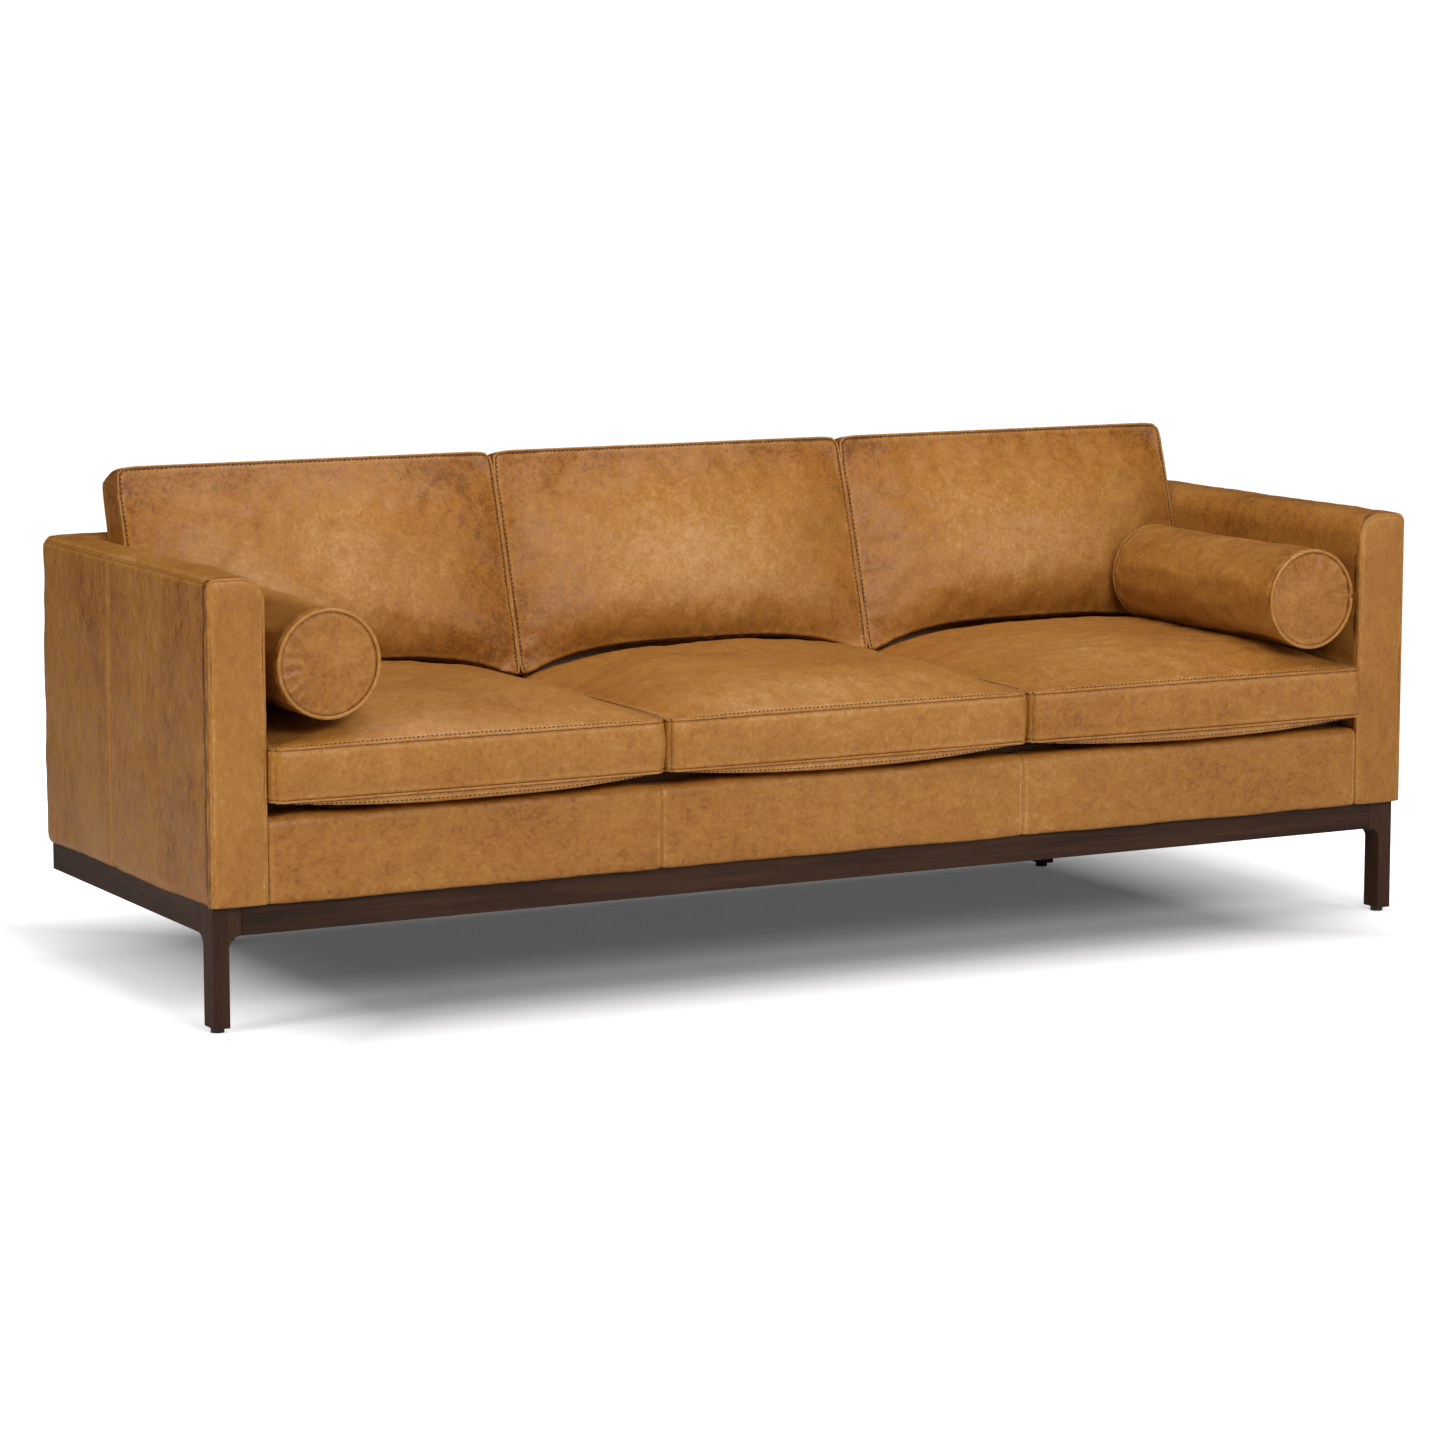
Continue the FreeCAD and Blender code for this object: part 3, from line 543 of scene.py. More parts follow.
WALL_HEIGHT = TOP_START - BODY_BOTTOM + OUTER_RADIUS * SEAM_ANGLE
TOTAL_RUN = 2 * (SIDE_RUN + CORNER_RUN) + REAR_RUN
SEAM_RUN = SIDE_SEAM_Y - FRONT
CORNER_END = SIDE_RUN + CORNER_RUN + HALF_WIDTH - CORNER_RADIUS - REAR_SEAM_X
OUTSIDE = [
    ("left_outside_leather", SEAM_INSET, SEAM_RUN, "outer", ["left_arm_outside_cover"]),
    ("left_corner_leather", SEAM_RUN, CORNER_END, "outer", ["left_corner_cover"]),
    ("outside_back_leather", CORNER_END, TOTAL_RUN - CORNER_END, "rear",
     ["outside_back_cover", "back_pad"]),
    ("right_corner_leather", TOTAL_RUN - CORNER_END, TOTAL_RUN - SEAM_RUN, "outer",
     ["right_corner_cover"]),
    ("right_outside_leather", TOTAL_RUN - SEAM_RUN, TOTAL_RUN - SEAM_INSET, "outer",
     ["right_arm_outside_cover"]),
]
for k, (name, start, end, hide, stands_for) in enumerate(OUTSIDE):
    u = spaced(end - start)
    v = spaced(WALL_HEIGHT)
    panel = Panel(name, outside_points(start + u, v), u, v, hides[hide], out=-1, seed=20 + k,
                  sewn="uUV", puff=0.0016, stitched={0: "u", 4: "U"}.get(k, ""))
    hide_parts(*stands_for)
    if k < 4:
        add_welt(*panel.line(row=-1), radius=0.0016, lift=0.0018)
    add_welt(*panel.line(col=-1), radius=0.0017, lift=0.0018)
    if k == 0:
        add_stitches(*panel.line(row=4))
    if k == 4:
        add_stitches(*panel.line(row=-5))


# top and inside: a ring of three pieces that meet at the mitres of the rear corners
def inner_drop(z, radius):
    """How far the rounded top edge stands back from the inside face at height z."""
    up = np.clip(z - (BODY_TOP - radius), 0, radius)
    return radius - np.sqrt(radius ** 2 - up ** 2)


def inner_back_y(z):
    """Y of the inside back at height z, with its rounded top edge."""
    centre_z = BODY_TOP - BACK_RADIUS
    centre_y = back_y(centre_z) + BACK_RADIUS / math.cos(SLOPE)
    up = np.clip(z - centre_z, 0, BACK_RADIUS)
    arc = centre_y - np.sqrt(BACK_RADIUS ** 2 - up ** 2)
    return np.where(z > centre_z + BACK_RADIUS * math.sin(SLOPE), arc, back_y(z))


FLAT_STEPS = np.arange(1, 8) / 8.0
ROUND_STEPS = np.radians(np.arange(0, 91, 10))
INSIDE_BOTTOM = DECK_LOW.z - 0.006


def ring_places(outer_line, inner_line):
    """Rows from the outer seam to the deck; each line gives the places along one row."""
    rows = []
    for angle in np.linspace(SEAM_ANGLE, math.pi / 2, 7):
        inset = OUTER_RADIUS * (1 - math.cos(angle))
        rows.append(outer_line(inset, TOP_START + OUTER_RADIUS * math.sin(angle)))
    low, high = rows[-1], inner_line(BODY_TOP)
    rows += [low + (high - low) * step for step in FLAT_STEPS]
    rows += [inner_line(BODY_TOP - INNER_RADIUS * (1 - math.cos(a))) for a in ROUND_STEPS]
    face = np.linspace(BODY_TOP - INNER_RADIUS, INSIDE_BOTTOM, 32)[1:]
    rows += [inner_line(z) for z in face]
    return np.stack(rows)


def with_height(xy, z):
    return np.concatenate([xy, np.full((len(xy), 1), z)], axis=1)


def lerp_line(a, b, t):
    return a[None, :] + (b - a)[None, :] * t[:, None]


def arm_ring(t):
    run = SIDE_RUN + CORNER_RUN / 2

    def outer(inset, z):
        return with_height(outline(SEAM_INSET + t * (run - SEAM_INSET), inset)[0], z)

    def inner(z):
        x = -(ARM_INNER + float(inner_drop(z, INNER_RADIUS)))
        start = np.array([x, FRONT + SEAM_INSET])
        return with_height(lerp_line(start, np.array([x, float(inner_back_y(z))]), t), z)

    return ring_places(outer, inner)


def back_ring(t):
    start = SIDE_RUN + CORNER_RUN / 2

    def outer(inset, z):
        return with_height(outline(start + t * (TOTAL_RUN - 2 * start), inset)[0], z)

    def inner(z):
        x = ARM_INNER + float(inner_drop(z, INNER_RADIUS))
        y = float(inner_back_y(z))
        return with_height(lerp_line(np.array([-x, y]), np.array([x, y]), t), z)

    return ring_places(outer, inner)


def grid_lengths(points):
    """Mean distances along the rows and along the columns of a grid."""
    down = np.linalg.norm(np.diff(points, axis=0), axis=-1).mean(axis=1)
    across = np.linalg.norm(np.diff(points, axis=1), axis=-1).mean(axis=0)
    return (np.concatenate([[0], np.cumsum(down)]), np.concatenate([[0], np.cumsum(across)]))


ARM_RUN, BACK_RUN = 0.77, 2.24      # lengths of the inside pieces, for the spacing of their grids
arm_t = spaced(ARM_RUN) / ARM_RUN
for name, sign in SIDES.items():
    ring = arm_ring(arm_t)
    if sign > 0:
        ring = ring * np.array([-1, 1, 1])
    u, v = grid_lengths(ring)
    panel = Panel("%s_arm_inside_leather" % name, ring, u, v, hides["top"], out=-sign,
                  seed=40 + sign, sewn="uvV", puff=0.0022, stitched="v")
    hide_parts("%s_arm_inside_cover" % name, "%s_arm_pad" % name)
    add_stitches(*[a[:44] for a in panel.line(col=4)])
back_t = spaced(BACK_RUN) / BACK_RUN
ring = back_ring(back_t)
u, v = grid_lengths(ring)
panel = Panel("inside_back_leather", ring, u, v, hides["top"], out=1, seed=43, sewn="uvV",
              puff=0.0022)
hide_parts("inside_back_cover")
for col in (0, -1):
    add_welt(*[a[:24] for a in panel.line(col=col)], radius=0.0012, lift=0.0014)


# front panels of the arms
def arm_outline(inset=0.0):
    """Front outline of the left arm from its outer foot over the top to its inner foot."""
    outer = np.radians(np.arange(0, 91, 6))
    inner = np.radians(np.arange(0, 91, 4))
    r, q = OUTER_RADIUS - inset, INNER_RADIUS - inset
    x = np.concatenate([[-HALF_WIDTH + inset], -HALF_WIDTH + OUTER_RADIUS - r * np.cos(outer),
                        -ARM_INNER - INNER_RADIUS + q * np.sin(inner), [-ARM_INNER - inset]])
    z = np.concatenate([[BODY_BOTTOM], BODY_TOP - OUTER_RADIUS + r * np.sin(outer),
                        BODY_TOP - INNER_RADIUS + q * np.cos(inner), [BODY_BOTTOM]])
    return np.stack([x, z], axis=1)


def even_path(points, step):
    along = run_along(points)
    at = np.linspace(0, along[-1], round(along[-1] / step) + 1)
    return np.stack([np.interp(at, along, points[:, k]) for k in range(points.shape[1])], axis=1)


edge_line = even_path(arm_outline(), 0.004)
z_rows = np.concatenate([
    BODY_BOTTOM + spaced(BODY_TOP - INNER_RADIUS - BODY_BOTTOM)[:-4],
    BODY_TOP - INNER_RADIUS * (1 - np.sin(np.radians(np.arange(0, 91, 6))))])
across = spaced(1.0, 0.1, (0.0, 0.025, 0.06, 0.12, 0.2))
left_edge = -HALF_WIDTH + inner_drop(z_rows, OUTER_RADIUS)
right_edge = -ARM_INNER - inner_drop(z_rows, INNER_RADIUS)
front_x = left_edge[:, None] + (right_edge - left_edge)[:, None] * across[None, :]
front_z = np.broadcast_to(z_rows[:, None], front_x.shape)
gap = np.linalg.norm(np.stack([front_x, front_z], -1)[:, :, None] - edge_line, axis=-1).min(-1)
dome = 0.0025 * (1 - np.exp(-gap / 0.016)) - 0.0026 * np.exp(-gap / 0.0035)
for name, sign in SIDES.items():
    shape = np.stack([front_x, FRONT - dome, front_z], axis=-1) * np.array([-sign, 1, 1])
    shape[..., 1] += 0.0008 * waves(shape, 0.13, 50 + sign)
    u, v = grid_lengths(shape)
    facing = np.broadcast_to(np.array([0, -1.0, 0]), shape.shape)
    panel = Panel("%s_arm_front_leather" % name, shape, u, v, hides["side"], out=sign,
                  seed=52 + sign, sewn="", puff=0.0, bumps=0.0, normal=facing, edge=gap)
    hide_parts("%s_arm_front_panel" % name)
    line = even_path(arm_outline(0.0008), 0.006)
    path = np.stack([line[:, 0] * -sign, np.full(len(line), FRONT + 0.0012), line[:, 1]], axis=1)
    outward = unit(np.cross(np.gradient(path, axis=0), np.array([0, 1.0, 0]))) * sign
    add_welt(path, outward, radius=0.0025, lift=0.0008)

# front border: three pieces over the seat rail
BORDER_FACE = BORDER_HIGH.z - BORDER_RADIUS - BODY_BOTTOM
BORDER_ARC = BORDER_RADIUS * math.pi / 2
BORDER_TOP_RUN = BORDER_HIGH.y - FRONT - BORDER_RADIUS


def border_points(x, h):
    turn = np.clip((h - BORDER_FACE) / BORDER_RADIUS, 0, math.pi / 2)
    over = np.maximum(h - BORDER_FACE - BORDER_ARC, 0)
    y = FRONT + BORDER_RADIUS * (1 - np.cos(turn)) + over + 0.003 * np.exp(-h / 0.006)
    z = BODY_BOTTOM + np.minimum(h, BORDER_FACE) + BORDER_RADIUS * np.sin(turn)
    return np.stack(np.broadcast_arrays(x[:, None], y[None, :], z[None, :]), axis=-1)


BORDER_CUTS = (-ARM_INNER + 0.001, -BORDER_SEAM_X, BORDER_SEAM_X, ARM_INNER - 0.001)
v = spaced(BORDER_FACE + BORDER_ARC + BORDER_TOP_RUN, 0.006)
for k, name in enumerate(SEATS):
    u = spaced(BORDER_CUTS[k + 1] - BORDER_CUTS[k])
    panel = Panel("border_leather_%s" % name, border_points(BORDER_CUTS[k] + u, v), u, v,
                  hides["border"], out=1, seed=60 + k, sewn="uU", puff=0.002)
    if k == 0:
        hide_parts("front_border_cover", "front_border_pad")
    if k:
        add_welt(*panel.line(row=0), radius=0.0015, lift=0.0018)

def flat_grid(x, y, z):
    """Level grid of places, and how far inside its border each is."""
    grid = np.stack(np.broadcast_arrays(x[:, None], y[None, :], z), axis=-1).copy()
    inside = np.minimum(np.minimum(y - y[0], y[-1] - y)[None, :], x[-1] - np.abs(x)[:, None])
    return grid, inside


# seat deck, a padded cloth between the border and the inside back
deck, inside = flat_grid(np.linspace(-ARM_INNER, ARM_INNER, 150),
                         np.linspace(BORDER_HIGH.y, DECK_HIGH.y, 40), DECK_HIGH.z)
deck[..., 2] -= 0.0022 + 0.002 * np.exp(-inside / 0.012) + 0.0007 * waves(deck, 0.2, 70)
deck_pad = add_mesh("seat_deck", deck, grid_quads(*deck.shape[:2]), deck_cloth)
thicken(deck_pad, DECK_THICKNESS)
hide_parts("seat_deck_pad", "seat_deck_cloth")

# dust cover stretched under the body
DUST_LOW, DUST_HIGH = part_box("dust_cover")
dust, inside = flat_grid(np.linspace(DUST_LOW.x, DUST_HIGH.x, 120),
                         np.linspace(DUST_LOW.y, DUST_HIGH.y, 36), DUST_HIGH.z)
dust[..., 2] -= 0.0009 + 0.0006 * (1 + waves(dust, 0.12, 71) / 2) * np.clip(inside / 0.05, 0, 1)
dust_sheet = add_mesh("dust_cover_cloth", dust, grid_quads(*dust.shape[:2])[:, ::-1], black_cloth)
thicken(dust_sheet, DUST_THICKNESS, 0)
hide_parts("dust_cover")


# ---- loose cushions -----------------------------------------------------------------------
def grid_ring(rows, cols, k):
    """Indices round a grid, k steps inside its edge."""
    top = [(k, j) for j in range(k, cols - 1 - k)]
    right = [(i, cols - 1 - k) for i in range(k, rows - 1 - k)]
    bottom = [(rows - 1 - k, j) for j in range(cols - 1 - k, k, -1)]
    left = [(i, k) for i in range(rows - 1 - k, k, -1)]
    return np.array([i * cols + j for i, j in top + right + bottom + left])


class Cushion:
    """A boxed cushion: two panels joined by a boxing strip, in its own frame a, b, c."""

    def __init__(self, half_a, half_b, corner, face, underside, place, box_steps, bulge):
        a = spaced(2 * half_a) - half_a
        b = spaced(2 * half_b) - half_b
        self.shape = (len(b), len(a))
        fall = math.log(0.04)
        power_a = fall / math.log(1 - corner / half_a)
        power_b = fall / math.log(1 - corner / half_b)
        cut = 0.293 * corner * (np.abs(b / half_b) ** power_b)[:, None] \
            * (np.abs(a / half_a) ** power_a)[None, :]
        grid_a = a[None, :] - np.sign(a)[None, :] * cut
        grid_b = b[:, None] - np.sign(b)[:, None] * cut
        upper = np.stack([grid_a, grid_b, face(grid_a, grid_b)], axis=-1).reshape(-1, 3)
        lower = np.stack([grid_a, grid_b, underside(grid_a, grid_b)], axis=-1).reshape(-1, 3)
        ring = grid_ring(*self.shape, 0)
        size = len(upper)
        along = unit(np.roll(upper[ring], -1, 0) - np.roll(upper[ring], 1, 0))
        outward = np.stack([along[:, 1], -along[:, 0], np.zeros(len(ring))], axis=1)
        strips = [upper[ring] + (lower[ring] - upper[ring]) * step
                  + outward * bulge * math.sin(math.pi * step) ** 0.8 for step in box_steps]
        local = np.concatenate([upper, lower] + strips)
        quads = grid_quads(*self.shape)
        faces = [quads, quads[:, ::-1] + size]
        loops = [ring] + [2 * size + k * len(ring) + np.arange(len(ring))
                          for k in range(len(strips))] + [ring + size]
        for first, second in zip(loops, loops[1:]):
            faces.append(np.stack([first, second, np.roll(second, -1), np.roll(first, -1)], -1))
        self.loops = loops
        self.size = size
        self.local = local
        self.points = place(local)
        self.faces = np.concatenate(faces)


def crown(u, power=CROWN_POWER):
    return 1 - np.minimum(np.abs(u), 1) ** power


SEAT_LOW, SEAT_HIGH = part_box("seat_cushion_center_cover")
SEAT_HALF = (SEAT_HIGH.x - SEAT_LOW.x) / 2
SEAT_DEPTH = (SEAT_HIGH.y - SEAT_LOW.y) / 2
SEAT_MIDDLE = (SEAT_HIGH.y + SEAT_LOW.y) / 2
BOX_STEPS = (0.04, 0.10, 0.2, 0.3, 0.4, 0.5, 0.6, 0.7, 0.8, 0.90, 0.96)


def seat_face(a, b):
    front = np.clip((b + SEAT_DEPTH) / 0.190, 0, 1)
    rear = np.clip((SEAT_DEPTH - b) / 0.085, 0, 1)
    nose = 1 - (1 - front) ** 2.2
    heel = 1 - 0.55 * (1 - rear) ** 2.0
    return SEAT_SEAM_HIGH + SEAT_CROWN * crown(a / SEAT_HALF) * nose * heel


def seat_underside(a, b):
    edge = np.clip((SEAT_DEPTH - np.abs(b)) / 0.016, 0, 1)
    return SEAT_SEAM_LOW - 0.0185 * crown(a / SEAT_HALF, 2.4) * (1 - (1 - edge) ** 2.4)


def seat_cushion(name):
    low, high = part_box("seat_cushion_%s_cover" % name)
    middle = (low.x + high.x) / 2

    def place(local):
        """The front of the underside rolls out under the lower seam, most in the middle."""
        roll = np.sin(math.pi * np.clip((SEAT_DEPTH + local[:, 1]) / 0.024, 0, 1))
        roll *= 0.010 * crown(local[:, 0] / SEAT_HALF, 2.4) * (local[:, 2] <= SEAT_SEAM_LOW)
        shift = np.stack([0 * roll, -roll, 0 * roll], axis=1)
        return local + shift + np.array([middle, SEAT_MIDDLE, 0])

    return Cushion(SEAT_HALF, SEAT_DEPTH, 0.030, seat_face, seat_underside, place, BOX_STEPS,
                   0.004)


BACK_LENGTH = (BACK_SEAM_TOP - BACK_FOOT) / math.cos(SLOPE)
FOOT_Z = BACK_FOOT - BACK_BOXING * math.sin(SLOPE)
FOOT_Y = back_y(FOOT_Z) - 0.0016
UP = np.array([0, math.sin(SLOPE), math.cos(SLOPE)])
FORWARD = np.array([0, -math.cos(SLOPE), math.sin(SLOPE)])


def back_cushion(name):
    low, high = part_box("back_cushion_%s_cover" % name)
    middle = (low.x + high.x) / 2
    half = (high.x - low.x) / 2
    half_b = BACK_LENGTH / 2

    def face(a, b):
        along = np.where(b > 0, crown(b / half_b, 2.4), crown(b / half_b, 6.0))
        return BACK_BOXING + BACK_CROWN * crown(a / half, 3.0) * along

    def underside(a, b):
        return np.full(np.broadcast(a, b).shape, 0.002)

    def place(local):
        a, b, c = local.T
        saddle = SEAT_SEAM_HIGH + SEAT_CROWN * crown(a / SEAT_HALF) + 0.0025
        foot = (saddle - FOOT_Z - c * math.sin(SLOPE)) / math.cos(SLOPE)
        foot = np.maximum(foot, 0.0)
        up = foot + (b / BACK_LENGTH + 0.5) * (BACK_LENGTH - foot)
        base = np.array([middle, FOOT_Y, FOOT_Z])
        return base + a[:, None] * np.array([1.0, 0, 0]) + up[:, None] * UP + c[:, None] * FORWARD

    return Cushion(half, half_b, 0.026, face, underside, place, BOX_STEPS, 0.005)


def smooth_copy(obj, levels):
    """Replace the mesh by its subdivided form; the first vertices keep their order."""
    level = obj.modifiers.new("Smooth", "SUBSURF")
    level.levels = levels
    level.render_levels = levels
    depsgraph = bpy.context.evaluated_depsgraph_get()
    mesh = bpy.data.meshes.new_from_object(obj.evaluated_get(depsgraph))
    obj.modifiers.remove(level)
    old = obj.data
    obj.data = mesh
    bpy.data.meshes.remove(old)
    mesh.name = obj.name


def read(mesh, key="co"):
    """Places or normals of a mesh's vertices."""
    flat = np.empty(len(mesh.vertices) * 3, np.float32)
    mesh.vertices.foreach_get(key, flat)
    return flat.reshape(-1, 3).astype(float)


def write_points(mesh, points):
    mesh.vertices.foreach_set("co", points.astype(np.float32).ravel())
    mesh.update()


SIM_FRAMES = 20
SEAM_HOLD = 0.95
SIDE_HOLD = 0.60
CLOTH = {
    "quality": 5, "mass": 0.25, "tension_stiffness": 60, "compression_stiffness": 60,
    "shear_stiffness": 20, "bending_stiffness": 1.5, "use_pressure": True,
    "uniform_pressure_force": 0.9, "vertex_group_mass": "held", "pin_stiffness": 1.0,
    "vertex_group_shrink": "seams",
}


def inflate(cushions):
    """Blow the covers up as cloth, all together; no point moves further than its cushion's cap."""
    scene = bpy.context.scene
    for cushion in cushions:
        obj = cushion.obj
        groups = {key: obj.vertex_groups.new(name=key) for key in ("seams", "held")}
        for key, indices, hold in (("seams", cushion.seams, 1.0), ("held", cushion.held, 1.0),
                                   ("held", cushion.sides, SIDE_HOLD),
                                   ("held", cushion.seams, SEAM_HOLD)):
            groups[key].add([int(i) for i in indices], hold, "REPLACE")
        cloth = obj.modifiers.new("Cloth", "CLOTH")
        cloth.point_cache.frame_start = 1
        cloth.point_cache.frame_end = SIM_FRAMES
        cloth.collision_settings.use_collision = False
        cloth.collision_settings.use_self_collision = False
        settings = cloth.settings
        for key, value in CLOTH.items():
            setattr(settings, key, value)
        settings.effector_weights.gravity = 0
        settings.shrink_min = -cushion.shrink / 2
        settings.shrink_max = cushion.shrink
    for k in range(1, SIM_FRAMES + 1):
        scene.frame_set(k)
    depsgraph = bpy.context.evaluated_depsgraph_get()
    for cushion in cushions:
        blown = cushion.obj.evaluated_get(depsgraph).data
        start = read(cushion.obj.data)
        move = read(blown) - start
        far = np.linalg.norm(move, axis=1, keepdims=True)
        move *= cushion.cap * np.tanh(far / cushion.cap) / np.maximum(far, TIDY)
        cushion.obj.modifiers.remove(cushion.obj.modifiers["Cloth"])
        cushion.obj.vertex_groups.clear()
        write_points(cushion.obj.data, start + move)
    scene.frame_set(1)


def nearest_along(points, loop):
    """Distance of each point to a closed seam, and how far round the seam that place is."""
    ring = even_path(closed_path(loop), 0.0015)
    along = run_along(ring)
    tree = KDTree(len(ring))
    for i, place in enumerate(ring):
        tree.insert(place, i)
    tree.balance()
    found = [tree.find(place) for place in points]
    return np.array([f[2] for f in found]), along[[f[1] for f in found]]


def gathers(along, distance, seed, pitch, height, reach):
    """Short puckers that run away from a seam, uneven in height, spacing and length."""
    rng = np.random.RandomState(seed)
    phase = along / pitch * 2 * math.pi
    wobble = sum(rng.uniform(0.4, 1.0) * np.sin(along * rng.uniform(4, 22) + rng.uniform(0, 6))
                 for _ in range(5))
    strength = np.clip(0.5 + 0.5 * sum(np.sin(along * rng.uniform(5, 16) + rng.uniform(0, 6))
                                       for _ in range(3)), 0, 1.6)
    fade = np.exp(-(distance / reach) ** 1.3) * np.clip(distance / 0.004, 0, 1)
    fade *= np.clip(1.6 - distance / reach, 0, 1)
    return height * strength * np.sin(phase + 1.6 * wobble) * fade


def crease(obj, seams, seed, pitch, height, reach, soft, line, where, glow):
    """Sculpt the smooth cover: sunk seams, gathers beside them and slow dents; and set its tone,
    with painted shade in and near the seams and painted highlights.
    """
    points = read(obj.data)
    normals = read(obj.data, "normal")
    wear_and_painted_light = np.full(len(points), 0.5)
    rise = np.zeros(len(points))
    edge = np.full(len(points), 1.0)
    for k, loop in enumerate(seams):
        distance, along = nearest_along(points, points[loop])
        edge = np.minimum(edge, distance)
        rise += where(points) * gathers(along, distance, seed + 7 * k, pitch, height, reach)
    dents = waves(points, 0.20, seed) + 0.3 * waves(points, 0.05, seed + 1)
    rise = rise * np.clip(edge / 0.010, 0, 1) + soft * dents * np.clip(edge / 0.070, 0, 1)
    rise -= 0.0020 * np.exp(-edge / 0.0035)
    # A paler band beside each seam, partly rubbed wear and partly a painted highlight, and painted
    # shade in the seam groove over the width line.
    wear_and_painted_light += 0.30 * np.exp(-((edge - 0.007) / 0.005) ** 2) - 0.95 * np.exp(-(edge / line) ** 2)
    # Each kind's painted light, and painted shade within some 5 cm of the seams where the cover
    # rounds over.
    wear_and_painted_light += glow(points) - 0.14 * np.exp(-edge / 0.05)
    layer = obj.data.attributes.get("wear_and_painted_light") or obj.data.attributes.new("wear_and_painted_light", "FLOAT", "POINT")
    write_points(obj.data, points + normals * rise[:, None])
    layer.data.foreach_set("value", wear_and_painted_light.astype(np.float32))


BOLSTER_LOW, BOLSTER_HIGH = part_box("bolster_right_cover")
BOLSTER_RADIUS = (BOLSTER_HIGH.x - BOLSTER_LOW.x) / 2
BOLSTER_X, BOLSTER_Z = BOLSTER_HIGH.x - BOLSTER_RADIUS, BOLSTER_HIGH.z - BOLSTER_RADIUS
REST_LEVEL = SEAT_SEAM_HIGH + 2 * SEAT_CROWN
seat_trees = {}


def bolster_near(points, gap):
    """How far off the nearer bolster's axis each point is, and the height under the bolster."""
    radius = BOLSTER_RADIUS + gap
    aside = (np.abs(points[:, 0]) - BOLSTER_X) / radius
    up = (points[:, 2] - BOLSTER_Z) / radius
    under = BOLSTER_Z - radius * np.sqrt(np.maximum(1 - aside ** 2, 0))
    return {"off": np.hypot(aside, np.minimum(up, 0)), "under": under}


def cushion_limits(name, points):
    """Keep a cushion out of its neighbours, the deck, the border and the inside back."""
    low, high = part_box(name + "_cover")
    gap = 0.0004
    points[:, 0] = np.clip(points[:, 0], low.x - gap, high.x + gap)
    if name.startswith("seat"):
        deck = np.where(points[:, 1] < BORDER_HIGH.y + 0.004, BORDER_HIGH.z + 0.0045,
                        DECK_HIGH.z + 0.0008)
        points[:, 2] = np.maximum(points[:, 2], deck)
        bolster = bolster_near(points, 0.0010)
        below = (bolster["off"] < 1) & (points[:, 1] > BOLSTER_LOW.y) \
            & (points[:, 1] < BOLSTER_HIGH.y)
        points[below, 2] = np.minimum(points[below, 2], bolster["under"][below])
        points[:, 1] = np.minimum(points[:, 1], high.y)
        return points
    points[:, 1] = np.minimum(points[:, 1], back_y(points[:, 2]) - 0.0012)
    bolster = bolster_near(points, 0.0015)
    behind = bolster["off"] < 1
    points[behind, 1] = np.maximum(points[behind, 1], BOLSTER_HIGH.y + 0.0012)
    surface = seat_trees[name.replace("back", "seat")]
    for k in np.flatnonzero(points[:, 2] < REST_LEVEL):
        hit = surface.ray_cast(Vector((*points[k, :2], REST_LEVEL)), Vector((0, 0, -1)))[0]
        if hit is not None:
            points[k, 2] = max(points[k, 2], hit.z + 0.0008)
    return points


def sew(name, obj, seams, rows, radius, lift, start=0):
    """Raised seams, and rows of stitches beside them, on a finished cover."""
    points = read(obj.data)
    normals = read(obj.data, "normal")
    lines = [tube(points[k] + normals[k] * lift, normals[k], radius, not start)
             for k in (seam[start:] for seam in seams)]
    seam = add_mesh(name + "_seams", material=hides["welt"], body=name, **rubbed_and_highlit(lines))
    if not rows:
        return
    runs = [row[start:] if start else closed_path(row) for row in rows]
    marks = [stitch_marks(points[run] + normals[run] * 0.0002, normals[run]) for run in runs]
    add_mesh(name + "_stitches", *merged(marks), thread, name)


def bolster_cushion(name):
    """Round bolster: tube, and two caps set back behind their piping."""
    low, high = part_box("bolster_%s_cover" % name)
    centre = (low + high) / 2
    radius = (high.x - low.x) / 2
    around = np.arange(96) * 2 * math.pi / 96
    length = high.y - low.y
    cap_r = np.array([0.05, 0.15, 0.27, 0.39, 0.51, 0.62, 0.72, 0.80, 0.87, 0.915, 0.945, 0.965])
    cap_y = 0.0015 + 0.0075 * cap_r ** 5
    tube_y = spaced(length - 0.010) + 0.005
    ends = np.minimum(tube_y - tube_y[0], tube_y[-1] - tube_y)
    tube_r = 1 - 0.022 * np.exp(-ends / 0.007)
    rings_y = low.y + np.concatenate([cap_y, tube_y, length - cap_y[::-1]])
    rings_r = radius * np.concatenate([cap_r, tube_r, cap_r[::-1]])
    shape = np.stack(np.broadcast_arrays(
        centre.x + rings_r[:, None] * np.cos(around), rings_y[:, None],
        centre.z + rings_r[:, None] * np.sin(around)), axis=-1)
    rows, cols = shape.shape[:2]
    ends = [[centre.x, low.y + 0.0015, centre.z], [centre.x, high.y - 0.0015, centre.z]]
    cushion = types.SimpleNamespace(points=np.concatenate([shape.reshape(-1, 3), ends]))
    cushion.faces = [list(q) for q in grid_quads(rows, cols, wrap=True)]
    last = (rows - 1) * cols
    for j in range(cols):
        k = (j + 1) % cols
        cushion.faces += [[rows * cols, k, j], [rows * cols + 1, last + j, last + k]]
    cushion.loops = [row * cols + np.arange(cols) for row in (len(cap_r), rows - 1 - len(cap_r))]
    cushion.held = cushion.sides = []
    cushion.shrink = 0.010
    cushion.cap = 0.006
    return cushion


